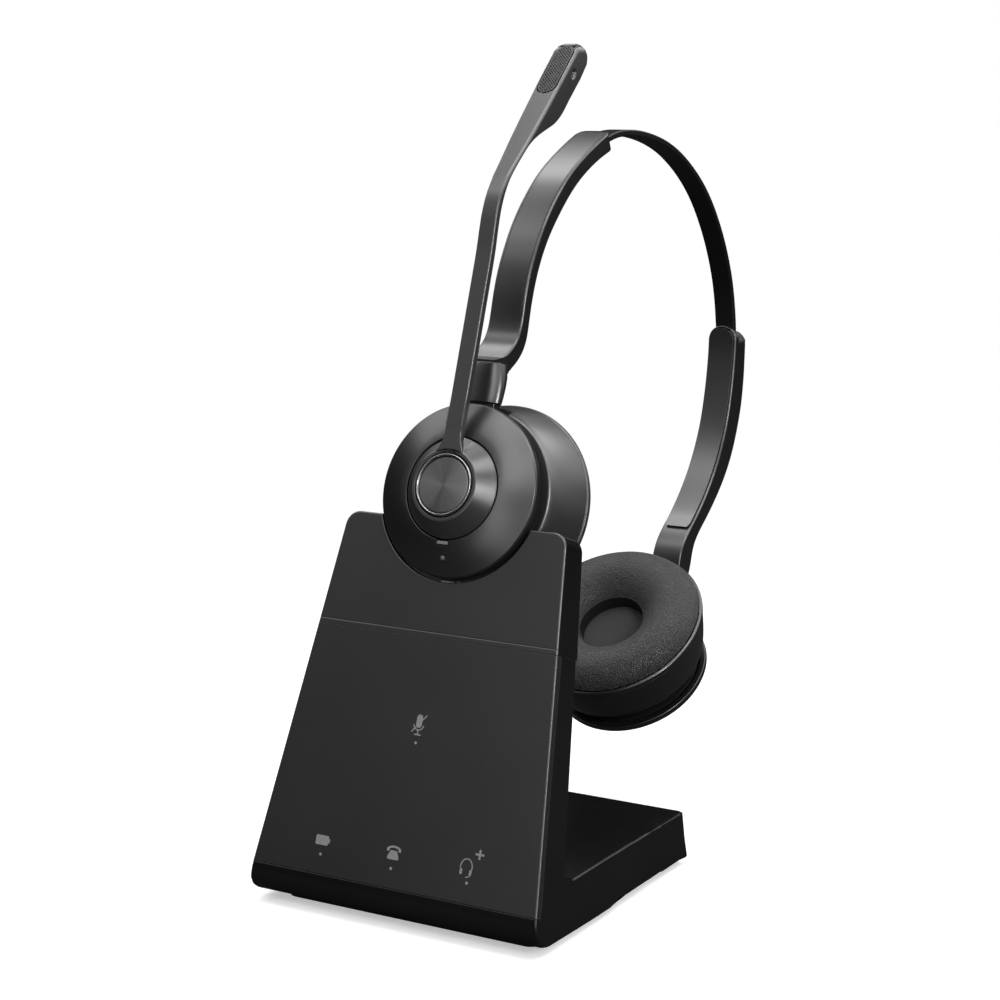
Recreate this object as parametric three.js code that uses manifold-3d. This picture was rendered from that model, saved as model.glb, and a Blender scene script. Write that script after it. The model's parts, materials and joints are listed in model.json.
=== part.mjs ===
// Stereo wireless office headset, docked in its leaning charging stand.
// Millimetres, +Z up, +X to the right of the stand's face, +Y to the back.
// The origin is the centre of the underside of the stand's rubber foot.
import * as THREE from "three";
import { mergeVertices } from "three/addons/utils/BufferGeometryUtils.js";
import Module from "manifold-3d";

const wasm = await Module();
wasm.setup();

const DEG = Math.PI / 180;

// ---------------------------------------------------------------- driving dimensions
const LEAN = 19.525 * DEG; // lean of the stand's face from vertical
const FACE_Z = 12.115; // height of the face's bottom edge above the desk
const FACE_L = 103.085; // length of the face up its slope
const FACE_W0 = 93.68; // width of the face at the bottom
const FACE_W1 = 72.0; // width of the face at the top
const SEAM_LO = 69.6; // touch panel ends here, up the slope
const SEAM_HI = 69.95; // cradle head starts here, up the slope
const PANEL_SEAT = -2.3; // seat behind the touch panel, from the face
const DECK_Z = 16.2; // top of the base plate
const DECK_FRONT_Y = 22.4; // where the deck meets the slab's back
const DECK_BACK_Y = 90.8; // rear edge of the flat deck
const BASE_REAR_Y = 93; // where the base plate's rear width is taken
const BASE_REAR_W = 88.3;
const FOOT_Y = 50; // the foot's centre is this far behind the face's bottom edge

const CUP_S = 111.64; // centre of the docked cup, up the slope
const CUP_H = 0.94; // the docked cup's rim stands this proud of the face
const REAR_CUP = [0, 141.09, 43.21]; // centre of the rear cup's disc
const REAR_FACING = 52.86 * DEG; // the rear cup's y axis leans back this far from vertical
const CRADLE_R = 26.0; // notch in the cradle head that takes the disc
const LEDGE_R = 17.85; // ledge that carries the docked cup by its core
const DISC_R = 25.0; // outer disc of each ear cup
const CORE_R = 17.5; // core between outer disc and cup shell
const SHELL_R0 = 25.4; // cup shell at its outer edge
const SHELL_R1 = 29.6; // cup shell at the cushion
const CUSHION_R = 28.7;
const HUB_R = 14.4; // foot of the boom's hub
const HUB_BORE_R = 9.3;
const BUTTON_R = 8.95; // call button over its bright trim
const PIN_S = 21.0; // yoke pin above the cup's centre
const PIN_G = 4.35; // yoke pin behind the disc's rim plane
const PIN_R = 1.0;
const BOOM_W = 5.3; // width of the boom arm
const BAND_W = 11.3; // width of the front shell of the headband
const ARM_W = 10.4; // width of the rear slider arm
const SPRING_W = 7.0; // width of the spring band
const SPRING_T = 2.0; // thickness of the spring band
const SPRING_GAP = 0.35; // play around the spring band

const FINISH = {
  satinPanel: { color: 0x303030, roughness: 0.45 },
  gloss: { color: 0x101010, roughness: 0.25 },
  satinDisc: { color: 0x2a2a2a, roughness: 0.4 },
  satinShell: { color: 0x2a2a2a, roughness: 0.42 },
  satinBand: { color: 0x2a2a2a, roughness: 0.45 },
  matte: { color: 0x1c1c1c, roughness: 0.6 },
  smoothMatte: { color: 0x1c1c1c, roughness: 0.5 },
  boom: { color: 0x3a3a3a, roughness: 0.5 },
  spring: { color: 0x0f0f0f, roughness: 0.5 },
  leather: { color: 0x242424, roughness: 0.7 },
  cloth: { color: 0x333333, roughness: 0.95 },
  rubber: { color: 0x0c0c0c, roughness: 0.9 },
  board: { color: 0x14401f, roughness: 0.6 },
  battery: { color: 0x6a6a72, roughness: 0.4 },
  statusLens: { color: 0xb8b8b8, roughness: 0.3 },
  indicatorLens: { color: 0x8a8a8a, roughness: 0.2 },
  greyPart: { color: 0x9a9a9a, roughness: 0.5 },
  ballast: { color: 0x9a9a9a, roughness: 0.5, metalness: 1 },
  steel: { color: 0x9a9a9a, roughness: 0.35, metalness: 1 },
  pinSteel: { color: 0x9a9a9a, roughness: 0.3, metalness: 1 },
  gold: { color: 0xb08d3c, roughness: 0.3, metalness: 1 },
  buttonCap: { color: 0x585858, roughness: 0.3, metalness: 1 },
  chrome: { color: 0xd8d8d8, roughness: 0.12, metalness: 1 },
};

// ---------------------------------------------------------------- solids and meshes
const asSolid = (geometry, matrix) => {
  geometry.applyMatrix4(matrix);
  geometry.deleteAttribute("normal");
  geometry.deleteAttribute("uv");
  const merged = mergeVertices(geometry, 1e-4);
  return new wasm.Manifold(
    new wasm.Mesh({
      numProp: 3,
      vertProperties: new Float32Array(merged.attributes.position.array),
      triVerts: new Uint32Array(merged.index.array),
    }),
  );
};
const toGeometry = (solid) => {
  const surface = solid.getMesh();
  const positions = new Float32Array(surface.vertProperties);
  return new THREE.BufferGeometry()
    .setAttribute("position", new THREE.BufferAttribute(positions, 3))
    .setIndex(new THREE.BufferAttribute(new Uint32Array(surface.triVerts), 1));
};
const transformed = (solid, matrix) => asSolid(toGeometry(solid), matrix);
const join = (first, ...others) => others.reduce((sum, solid) => sum.add(solid), first);
const cut = (body, ...tools) => tools.reduce((rest, tool) => rest.subtract(tool), body);
const add = (group, name, solid, finish) => {
  const material = new THREE.MeshStandardMaterial({ ...finish, flatShading: true });
  const mesh = new THREE.Mesh(toGeometry(solid), material);
  mesh.name = name;
  group.add(mesh);
};

// ---------------------------------------------------------------- frames
const move = (x, y, z) => new THREE.Matrix4().makeTranslation(x, y, z);
const turnX = (angle) => new THREE.Matrix4().makeRotationX(angle);
const basis = (xAxis, yAxis, zAxis, origin = [0, 0, 0]) =>
  new THREE.Matrix4()
    .makeBasis(...[xAxis, yAxis, zAxis].map((axis) => new THREE.Vector3(...axis)))
    .setPosition(...origin);
// Drawing plane YZ, extruded along +X; drawing plane XZ, extruded along -Y.
const SIDE = basis([0, 1, 0], [0, 0, 1], [1, 0, 0]);
const FRONT = basis([1, 0, 0], [0, 0, 1], [0, -1, 0]);

// [y, z] of a point at a given rise along a frame's y axis and height out along its z axis.
const sideFrame = (origin, up, out) => (rise, height) =>
  origin.map((start, i) => start + up[i] * rise + out[i] * height);
const upFace = [Math.sin(LEAN), Math.cos(LEAN)];
const outOfFace = [-upFace[1], upFace[0]];
const upRear = [Math.sin(REAR_FACING), Math.cos(REAR_FACING)];
const outOfRear = [upRear[1], -upRear[0]];
const atFace = sideFrame([0, FACE_Z], upFace, outOfFace);
const FRONT_CUP = atFace(CUP_S, CUP_H);
const atFrontCup = sideFrame(FRONT_CUP, upFace, outOfFace);
const atRearCup = sideFrame(REAR_CUP.slice(1), upRear, outOfRear);

// Frames parallel to the face: x right, y up the slope, z out of the face.
const FACE_TURN = Math.PI / 2 - LEAN;
const leaningGroup = ([y, z]) => {
  const group = new THREE.Group();
  group.position.set(0, y, z);
  group.rotation.x = FACE_TURN;
  return group;
};
const FROM_FACE = turnX(FACE_TURN).setPosition(0, 0, FACE_Z);
const SIDE_IN_FACE = FROM_FACE.clone().invert().multiply(SIDE);
const TO_FRONT_CUP = turnX(FACE_TURN).setPosition(0, ...FRONT_CUP).invert();

// ---------------------------------------------------------------- basic shapes
const box = ([x0, x1], [y0, y1], [z0, z1]) =>
  asSolid(
    new THREE.BoxGeometry(x1 - x0, y1 - y0, z1 - z0),
    move((x0 + x1) / 2, (y0 + y1) / 2, (z0 + z1) / 2),
  );
// Turned solid about local Z; profile is a closed loop of [radius, z] in either direction.
const lathe = (profile, segments) => {
  const area = profile.reduce((sum, [r0, z0], i) => {
    const [r1, z1] = profile[(i + 1) % profile.length];
    return sum + r0 * z1 - r1 * z0;
  }, 0);
  const wound = area > 0 ? profile : [...profile].reverse();
  const points = wound.map(([radius, z]) => new THREE.Vector2(radius, z));
  // A solid profile starts just after its edge along the axis; a ring closes on itself.
  const start = points.findIndex((point, i) => point.x === 0 && points.at(i - 1).x === 0);
  const loop =
    start < 0 ? [...points, points[0]] : [...points.slice(start), ...points.slice(0, start)];
  return asSolid(new THREE.LatheGeometry(loop, segments), turnX(Math.PI / 2));
};
// Cylinder along Z.
const rod = (radius, [z0, z1], segments, x = 0, y = 0) =>
  asSolid(
    new THREE.CylinderGeometry(radius, radius, z1 - z0, segments),
    move(x, y, (z0 + z1) / 2).multiply(turnX(Math.PI / 2)),
  );
// Cylinder along X.
const rodX = (radius, [x0, x1], [y, z], segments = 20) =>
  asSolid(
    new THREE.CylinderGeometry(radius, radius, x1 - x0, segments),
    move((x0 + x1) / 2, y, z).multiply(new THREE.Matrix4().makeRotationZ(Math.PI / 2)),
  );
// Prism from outline points, from z0 to z1, with an optional small edge break.
const prism = (points, [z0, z1], { matrix = new THREE.Matrix4(), edge = 0 } = {}) => {
  const shape = new THREE.Shape(points.map(([x, y]) => new THREE.Vector2(x, y)));
  const geometry = new THREE.ExtrudeGeometry(shape, {
    depth: z1 - z0 - 2 * edge,
    bevelEnabled: edge > 0,
    bevelThickness: edge,
    bevelSize: edge,
    bevelOffset: -edge,
    bevelSegments: 1,
  });
  return asSolid(geometry, matrix.clone().multiply(move(0, 0, z0 + edge)));
};
// Prism from a side outline of [y, z], centred on x = 0.
const sidePrism = (points, half, edge = 0) =>
  prism(points, [-half, half], { matrix: SIDE, edge });
// Rounds the corners of a polygon: each corner is [x, y, radius].
const rounded = (corners, steps = 4) =>
  corners.flatMap(([x, y, radius = 0], i) => {
    if (!radius) return [[x, y]];
    const corner = new THREE.Vector2(x, y);
    const towards = ([nextX, nextY]) => new THREE.Vector2(nextX, nextY).sub(corner).normalize();
    const before = towards(corners.at(i - 1));
    const after = towards(corners[(i + 1) % corners.length]);
    const half = Math.acos(before.dot(after)) / 2;
    const tangent = radius / Math.tan(half);
    const centre = before.clone().add(after).normalize();
    centre.multiplyScalar(radius / Math.sin(half)).add(corner);
    const angleAlong = (side) =>
      corner.clone().addScaledVector(side, tangent).sub(centre).angle();
    const startAngle = angleAlong(before);
    let sweep = angleAlong(after) - startAngle;
    if (sweep > Math.PI) sweep -= 2 * Math.PI;
    if (sweep < -Math.PI) sweep += 2 * Math.PI;
    return Array.from({ length: steps + 1 }, (_, k) => {
      const angle = startAngle + (sweep * k) / steps;
      return [centre.x + radius * Math.cos(angle), centre.y + radius * Math.sin(angle)];
    });
  });
// Symmetric four-sided outline; each end is [half width, y].
const trapezoid = ([half0, y0], [half1, y1], radius0 = 0, radius1 = radius0, steps = 4) =>
  rounded(
    [
      [-half0, y0, radius0],
      [half0, y0, radius0],
      [half1, y1, radius1],
      [-half1, y1, radius1],
    ],
    steps,
  );
// Head and shank are each [radius, [z0, z1], segments].
const screw = (head, shank, x, y) => join(rod(...head, x, y), rod(...shank, x, y));

// Line of points moved to the right of its travel.
const offsetLine = (points, offset) =>
  points.map(([y, z], i) => {
    const [y0, z0] = points[Math.max(i - 1, 0)];
    const [y1, z1] = points[Math.min(i + 1, points.length - 1)];
    const scale = offset / Math.hypot(y1 - y0, z1 - z0);
    return [y + (z1 - z0) * scale, z - (y1 - y0) * scale];
  });
// Strip along a line of [y, z] points, between two offsets from it.
const strip = (points, offset0, offset1, half) =>
  sidePrism([...offsetLine(points, offset0), ...offsetLine(points, offset1).reverse()], half);
// The same line, lengthened at both ends.
const extended = (points, length) => {
  const beyond = ([y0, z0], [y1, z1]) => {
    const scale = length / Math.hypot(y1 - y0, z1 - z0);
    return [y1 + (y1 - y0) * scale, z1 + (z1 - z0) * scale];
  };
  const first = beyond(points[1], points[0]);
  return [first, ...points.slice(1, -1), beyond(points.at(-2), points.at(-1))];
};

// ================================================================ charging stand
const WIDE = 60; // half width of side sections, wider than the stand
const halfFaceWidth = (rise) => (FACE_W0 + ((FACE_W1 - FACE_W0) * rise) / FACE_L) / 2;
const facePlan = (rise0, rise1, topRadius = 0) =>
  trapezoid([halfFaceWidth(rise0), rise0], [halfFaceWidth(rise1), rise1], 0, topRadius);
const halfBaseWidth = (y) => (FACE_W0 + ((BASE_REAR_W - FACE_W0) * y) / BASE_REAR_Y) / 2;
const slabBackY = (z) => 16.4 + (z - 20) * 0.2973; // the slab's sloping back
const FACE_TOP = atFace(FACE_L, 0);
const FACE_TOP_Z = FACE_TOP[1];

// Side sections, [y, z].
const SLAB_SIDE = [
  [0, FACE_Z], FACE_TOP, [slabBackY(FACE_TOP_Z), FACE_TOP_Z], [slabBackY(22.5), 22.5],
  [18.1, 20], [19.6, 17.9], [DECK_FRONT_Y, DECK_Z], [DECK_FRONT_Y, 8], [0.2, 8],
];
const BASE_SIDE = [
  [0, FACE_Z], [-0.55, 9.6], [-0.65, 7.4], [0.3, 5.1], [2.2, 3.2], [5.0, 2.0], [8.5, 1.5],
  [92.4, 1.5], [94.0, 2.1], [94.6, 3.3], [92.0, 15.2], [DECK_BACK_Y, DECK_Z],
  [DECK_FRONT_Y, DECK_Z], [4.0, FACE_Z],
];
const HEAD_SIDE = [
  atFace(FACE_L - 40, 0), FACE_TOP, [slabBackY(FACE_TOP_Z) - 0.5, FACE_TOP_Z],
  [slabBackY(FACE_TOP_Z - 0.8), FACE_TOP_Z - 0.8], [slabBackY(60), 60],
];
// Plan of the base plate, [x, y, corner radius].
const BASE_FRONT_Y = -6;
const BASE_END_Y = 94.8;
const BASE_PLAN = [
  [-halfBaseWidth(0), BASE_FRONT_Y], [halfBaseWidth(0), BASE_FRONT_Y], [halfBaseWidth(0), 0],
  [halfBaseWidth(BASE_END_Y), BASE_END_Y, 4], [-halfBaseWidth(BASE_END_Y), BASE_END_Y, 4],
  [-halfBaseWidth(0), 0],
];
// Room in the base, [half width, y] at its front and back.
const ROOM_FRONT = [42, 14];
const ROOM_BACK = [40, 88.5];
const ROOM_CORNER_R = 3;
const COVER_GAP = 0.4; // bottom cover inside the room
const BASE_SCREWS = [[-33, 20], [33, 20], [-33, 80], [33, 80]]; // [x, y]
const CRADLE_SCREW_X = [-18, 18];
const CRADLE_SCREW_Y = 64;
const SCREW_HOLE_R = 1.35;
const SCREW_SHANK_R = 1.15;

// Sockets in the back of the base; a cavity, where there is one, opens to the back.
const SOCKET_Y = [80, 91.6];
const CAVITY_Y = [84, 93];
const SOCKETS = [
  { name: "usb_socket", x: [-24, -16], z: [5.0, 8.0], finish: FINISH.steel },
  {
    name: "phone_socket", x: [-5, 5], z: [4.8, 11.4], finish: FINISH.smoothMatte,
    cavity: { x: [-3.6, 3.6], z: [5.8, 10.4] },
  },
  {
    name: "power_socket", x: [16, 23], z: [4.8, 11.4], finish: FINISH.smoothMatte,
    cavity: { x: [17.6, 21.4], z: [6.2, 10] },
  },
];
const widened = ([low, high], gap) => [low - gap, high + gap];
const socketOpening = ({ x, z }) => box(widened(x, 0.6), [86, 96], widened(z, 0.4));
const socketSolid = ({ x, z, cavity }) => {
  const body = box(x, SOCKET_Y, z);
  return cavity ? cut(body, box(cavity.x, CAVITY_Y, cavity.z)) : body;
};

// One moulding: leaning slab and base plate, hollow from the front and from below.
const housingSolid = () => {
  const base = prism(rounded(BASE_PLAN), [0, 30]).intersect(sidePrism(BASE_SIDE, WIDE));
  const slab = prism(SLAB_SIDE, [-WIDE, WIDE], { matrix: SIDE_IN_FACE }).intersect(
    prism(facePlan(-8, SEAM_LO), [-40, PANEL_SEAT]),
  );
  const panelRecess = prism(facePlan(-0.2, 90), [PANEL_SEAT, 6]);
  const slabRoom = prism(trapezoid([36, 9], [29, 72]), [-7.6, 5]);
  const hollow = cut(
    join(base, transformed(slab, FROM_FACE)),
    transformed(panelRecess, FROM_FACE),
    prism(trapezoid(ROOM_FRONT, ROOM_BACK, ROOM_CORNER_R), [0, 13.9]),
    transformed(slabRoom, FROM_FACE),
    // passage between the two rooms
    box([-30, 30], [12, 16], [4, 15.5]),
    ...SOCKETS.map(socketOpening),
  );
  const posts = BASE_SCREWS.map(([x, y]) => rod(3.2, [4.2, 14.4], 16, x, y));
  const holes = BASE_SCREWS.map(([x, y]) => rod(SCREW_HOLE_R, [2, 11.5], 12, x, y));
  return cut(join(hollow, ...posts), ...holes);
};

// Top of the slab, with the notch for the disc, the ledge behind it and a tongue below.
const cradleHeadSolid = () => {
  const contactSlot = (x) => box(x, [82, 88], [-1.45, -0.4]);
  const blank = prism(facePlan(SEAM_HI, FACE_L, 4.5), [-20, 0]).intersect(
    prism(HEAD_SIDE, [-WIDE, WIDE], { matrix: SIDE_IN_FACE }),
  );
  const notched = cut(
    blank,
    rod(CRADLE_R, [-2.35, 5], 56, 0, CUP_S),
    rod(LEDGE_R, [-30, 5], 48, 0, CUP_S),
    rod(31.6, [-30, -5.45], 56, 0, CUP_S),
    contactSlot([-1.6, 3.0]),
    contactSlot([3.6, 4.8]),
    // two holes above the tongue, open at the back
    ...CRADLE_SCREW_X.map((x) => rod(SCREW_HOLE_R, [-12, -2.6], 12, x, 76)),
  );
  const tongue = box([-26, 26], [60, 71.5], [-6.6, -4.4]);
  return cut(
    join(notched, tongue),
    ...CRADLE_SCREW_X.map((x) => rod(SCREW_HOLE_R, [-12, -3], 12, x, CRADLE_SCREW_Y)),
  );
};

const bottomCoverSolid = () => {
  const plan = trapezoid(
    [ROOM_FRONT[0] - COVER_GAP, ROOM_FRONT[1] + COVER_GAP],
    [ROOM_BACK[0] - COVER_GAP, ROOM_BACK[1] - COVER_GAP],
    ROOM_CORNER_R,
  );
  return cut(
    prism(plan, [1.6, 3.8]),
    ...BASE_SCREWS.map(([x, y]) => rod(1.4, [0, 5], 12, x, y)),
    ...BASE_SCREWS.map(([x, y]) => rod(2.9, [0, 2.6], 16, x, y)),
  );
};

// Pieces drawn in the face's frame.
const buildFace = () => {
  const face = leaningGroup([0, FACE_Z]);
  const panel = prism(facePlan(0, SEAM_LO), [-2.0, 0], { edge: 0.3 });
  add(face, "touch_panel", panel, FINISH.satinPanel);
  add(face, "cradle_head", cradleHeadSolid(), FINISH.satinPanel);
  const screwHead = [2.4, [-4.1, -2.7], 16];
  const screwShank = [SCREW_SHANK_R, [-7.2, -3], 12];
  CRADLE_SCREW_X.forEach((x, i) => {
    const solid = screw(screwHead, screwShank, x, CRADLE_SCREW_Y);
    add(face, `cradle_screw_${i + 1}`, solid, FINISH.steel);
  });
  // Charging contacts at the bottom of the notch.
  const contactZ = [-1.3, -0.55];
  add(face, "charge_contact_bar", box([-1.3, 2.7], [82.6, 86.1], contactZ), FINISH.gold);
  add(face, "charge_contact_dot", box([3.85, 4.55], [82.6, 86.3], contactZ), FINISH.gold);
  const board = prism(trapezoid([33, 10.5], [28, 57]), [-3.9, -2.5]);
  add(face, "touch_board", board, FINISH.board);
  return face;
};

const buildStand = () => {
  const stand = new THREE.Group();
  stand.add(buildFace());
  add(stand, "stand_housing", housingSolid(), FINISH.gloss);
  const ballast = prism(trapezoid([26, 34], [26, 70], 2, 2, 2), [9.6, 13.5]);
  add(stand, "ballast_plate", ballast, FINISH.ballast);
  add(stand, "main_board", box([-27, 27], [30, 79], [6.6, 8.2]), FINISH.board);
  SOCKETS.forEach((socket) => add(stand, socket.name, socketSolid(socket), socket.finish));
  add(stand, "bottom_cover", bottomCoverSolid(), FINISH.matte);
  const screwHead = [2.6, [1.5, 2.45], 16];
  const screwShank = [SCREW_SHANK_R, [2.2, 10.5], 12];
  BASE_SCREWS.forEach(([x, y], i) =>
    add(stand, `base_screw_${i + 1}`, screw(screwHead, screwShank, x, y), FINISH.steel),
  );
  const foot = prism(trapezoid([39.5, 11], [38.5, 89], 3.5), [0, 1.25]);
  add(stand, "rubber_foot", foot, FINISH.rubber);
  return stand;
};

// ================================================================ ear cups
// Cup frame: z out of the cup, away from the head; y towards the headband;
// z = 0 is the disc's rim. Profiles are [radius, z].
const DISC_RIM = [
  [17.4, 3.3], [20, 2.35], [23.2, 0.95], [24.6, 0.1], [DISC_R, -0.6], [DISC_R, -1.8],
  [23.4, -1.8], [23.2, -0.9], [20, 0.7],
];
const CLOSED_DISC = [[0, 4.6], [9, 4.35], [14.5, 3.85], ...DISC_RIM, [14.5, 2.1], [0, 2.8]];
const OPEN_DISC = [[14.85, 3.95], ...DISC_RIM, [17.4, 1.7], [14.85, 2.2]];
const CORE_OUTER = [
  [2.6, -6.55], [CORE_R, -6.55], [CORE_R, -2.2], [22.6, -2.2], [22.6, -1.3], [15.4, -1.3],
  [15.4, -4.9],
];
const BOOM_BEARING = [[9.0, -4.9], [9.0, 6.0], [7.4, 6.0], [7.4, -4.9]];
const SHELL_PROFILE = [
  [3, -6.9], [24.6, -6.9], [SHELL_R0, -7.3], [26.2, -8.4], [27.3, -11.5], [28.4, -16],
  [29.2, -20], [SHELL_R1, -23], [29.2, -23.3], [28.4, -23.3], [28.0, -22.4], [27.2, -18],
  [25.4, -10.4], [23.6, -8.6], [3, -8.6],
];
const BAFFLE_PROFILE = [
  [12.5, -17.2], [15.7, -17.2], [15.7, -21.2], [26.9, -21.2], [27.4, -22.4], [27.4, -24.1],
  [14.1, -24.1], [14.1, -18.3], [12.5, -18.3],
];
const DRIVER_PROFILE = [
  [0, -18.2], [5, -17.8], [9.5, -18.2], [12.1, -18.2], [12.1, -16.8], [14.2, -16.6],
  [14.2, -15.4], [8, -14.4], [8, -12.5], [0, -12.5],
];
const CUSHION_PROFILE = [
  [13.6, -19.7], [10.5, -19.7], [10.4, -23.0], [11.0, -24.2], [13.4, -26.9], [16.6, -29.1],
  [20.4, -30.0], [24.2, -29.4], [27.2, -27.5], [CUSHION_R, -25.0], [28.4, -23.8],
  [27.9, -23.7], [27.9, -24.4], [26.4, -25.5], [13.6, -25.5],
];
const INDICATOR_XY = [0.2, -19.6];

// The boom side's disc is open in the middle for the hub, with openings for two lights.
const discSolid = (hasBoom) =>
  hasBoom
    ? cut(
        lathe(OPEN_DISC, 40),
        box([-2.0, 2.0], [-16.3, -14.5], [1, 6]),
        rod(0.95, [-1, 6], 16, ...INDICATOR_XY),
      )
    : lathe(CLOSED_DISC, 40);

// Core between disc and shell: the yoke lugs and, on the boom side, the boom's bearing.
const coreSolid = (hasBoom) => {
  const profile = [...CORE_OUTER, ...(hasBoom ? BOOM_BEARING : []), [2.6, -4.9]];
  const lugs = [[-8.4, -6.1], [6.1, 8.4]].map((x) => box(x, [14.4, 22.9], [-6.2, -2.55]));
  return cut(
    join(lathe(profile, 28), ...lugs),
    rodX(PIN_R + 0.06, [-12, 12], [PIN_S, -PIN_G]),
  );
};

// Shell flaring towards the head, notched for the yoke and, on the boom side, the rocker.
const shellSolid = (hasBoom) => {
  const shell = cut(lathe(SHELL_PROFILE, 40), box([-7.5, 7.5], [22.2, 30], [-9.6, -5]));
  return hasBoom ? cut(shell, box([-31, -24.2], [-8, 8], [-16.2, -11.8])) : shell;
};

const addCupPieces = (cup, side, hasBoom) => {
  const addPiece = (name, solid, finish) => add(cup, `${side}_${name}`, solid, finish);
  addPiece("outer_disc", discSolid(hasBoom), FINISH.satinDisc);
  addPiece("cup_core", coreSolid(hasBoom), FINISH.matte);
  addPiece("yoke_pin", rodX(PIN_R, [-8.2, 8.2], [PIN_S, -PIN_G]), FINISH.pinSteel);
  addPiece("cup_shell", shellSolid(hasBoom), FINISH.satinShell);

  // The baffle has three screw holes; the first two carry screws.
  const holes = [45, 135, 225].map((degrees) => [
    24 * Math.cos(degrees * DEG),
    24 * Math.sin(degrees * DEG),
  ]);
  const baffle = cut(
    lathe(BAFFLE_PROFILE, 28),
    ...holes.map(([x, y]) => rod(1.2, [-30, -10], 10, x, y)),
  );
  addPiece("baffle", baffle, FINISH.matte);
  const screwHead = [2.0, [-25.0, -24.25], 12];
  const screwShank = [0.95, [-24.5, -17.5], 10];
  holes.slice(0, 2).forEach(([x, y], i) =>
    addPiece(`baffle_screw_${i + 1}`, screw(screwHead, screwShank, x, y), FINISH.steel),
  );
  addPiece("speaker_driver", lathe(DRIVER_PROFILE, 28), FINISH.greyPart);
  addPiece("speaker_cloth", rod(13.6, [-19.3, -18.7], 32), FINISH.cloth);
  addPiece("ear_cushion", lathe(CUSHION_PROFILE, 32), FINISH.leather);
};

// Battery, board, lights and keys of the front cup.
const addFrontElectronics = (cup) => {
  add(cup, "battery", box([-11, 11], [-9, 9], [-12.1, -9.0]), FINISH.battery);
  const board = cut(rod(14.6, [-4.6, -3.6], 28), rod(9.4, [-6, 0], 28));
  add(cup, "headset_board", board, FINISH.board);
  const statusLens = box([-1.7, 1.7], [-16.0, -15.1], [2.0, 3.85]);
  add(cup, "status_light_lens", statusLens, FINISH.statusLens);
  const indicator = rod(0.65, [0.4, 2.45], 14, ...INDICATOR_XY);
  add(cup, "indicator_lens", indicator, FINISH.indicatorLens);
  add(cup, "call_switch", box([-3, 3], [-3, 3], [-4.6, 0.6]), FINISH.greyPart);
  const rockerPlan = [[-27.75, -6.6, 0.6], [-25.0, -6.6], [-25.0, 6.6], [-27.75, 6.6, 0.6]];
  const rocker = prism(rounded(rockerPlan, 2), [-15.6, -12.4]);
  add(cup, "volume_rocker_key", rocker, FINISH.smoothMatte);
};

// Call button: cap on a stem, and bright trim around it.
const CAP_PROFILE = [
  [0, 8.75], [4, 8.7], [7.85, 8.45], [7.85, 7.3], [BUTTON_R, 7.3], [BUTTON_R, 6.75], [0, 6.75],
];
const TRIM_PROFILE = [
  [8.05, 7.6], [BUTTON_R, 7.6], [BUTTON_R, 8.5], [8.6, 8.9], [8.25, 8.85], [8.05, 8.5],
];
const addCallButton = (cup) => {
  const cap = join(lathe(CAP_PROFILE, 28), rod(1.8, [1.2, 7], 16));
  add(cup, "call_button_cap", cap, FINISH.buttonCap);
  add(cup, "call_button_trim", lathe(TRIM_PROFILE, 28), FINISH.chrome);
};

// ---------------------------------------------------------------- boom
// Side outline, [y, z] in the stand's frame: up the front, around the tip, back down.
const BOOM_SIDE = [
  atFrontCup(9.2, 8.6), [35.4, 140.7], [42.7, 162.4], [49.9, 183.8], [51.3, 189.5],
  [52.7, 194.6], [54.5, 198.9], [57.3, 202.7], [66.5, 211.6], [76.0, 220.6], [86.0, 230.2],
  [93.6, 237.5], [96.6, 240.3], [98.3, 241.4], [100.2, 241.2], [101.9, 239.2],
  [102.4, 236.9], [101.2, 234.2], [97.8, 230.7], [91.5, 224.7], [86.6, 219.9],
  [84.0, 218.3], [80.4, 217.1], [76.1, 215.6], [72.5, 214.0], [69.4, 212.0], [66.5, 209.4],
  [60.6, 203.6], [58.0, 200.6], [56.4, 197.4], [54.9, 193.9], [53.6, 188.9], [52.1, 183.0],
  [44.9, 161.6], [37.6, 139.9], atFrontCup(9.2, 6.3),
];
// Half the front outline, [half width, z], from the hub up to the tip.
const BOOM_HALF_FRONT = [
  [BOOM_W / 2, atFrontCup(9.2, 7)[1] - 3], [BOOM_W / 2, 202], [3.0, 208], [3.45, 212.5],
  [3.8, 220], [4.15, 231], [4.1, 236.5], [3.2, 239.8], [1.6, 241.5],
];
const HUB_PROFILE = [
  [HUB_BORE_R, 1.2], [HUB_R, 1.2], [HUB_R, 3.7], [14.1, 4.1], [10.3, 8.4], [10.0, 8.6],
  [HUB_BORE_R, 8.6],
];
// Plan of the fillets from hub to arm, [x, y]; side of the wedge under them, [y, z].
const FILLET_PLAN = [
  [-6.1, 8.0], [-4.4, 9.3], [-3.2, 11.3], [-2.65, 14.2],
  [2.65, 14.2], [3.2, 11.3], [4.4, 9.3], [6.1, 8.0],
];
const WEDGE_SIDE = [[8.2, 4.3], [13.4, 4.3], [16.2, 6.4], [16.2, 8.5], [8.2, 8.5]];
// Tip frame on the boom's outer face: y along the boom, z out of the face.
const TIP = TO_FRONT_CUP.clone().multiply(
  basis([1, 0, 0], [0, 0.7212, 0.6927], [0, -0.6927, 0.7212], [0, 88.6, 232.68]),
);
const tipSlot = (halfWidth, halfLength, radius, z, edge = 0) =>
  prism(
    trapezoid([halfWidth, -halfLength], [halfWidth, halfLength], radius, radius, 3),
    z,
    { matrix: TIP, edge },
  );

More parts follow.
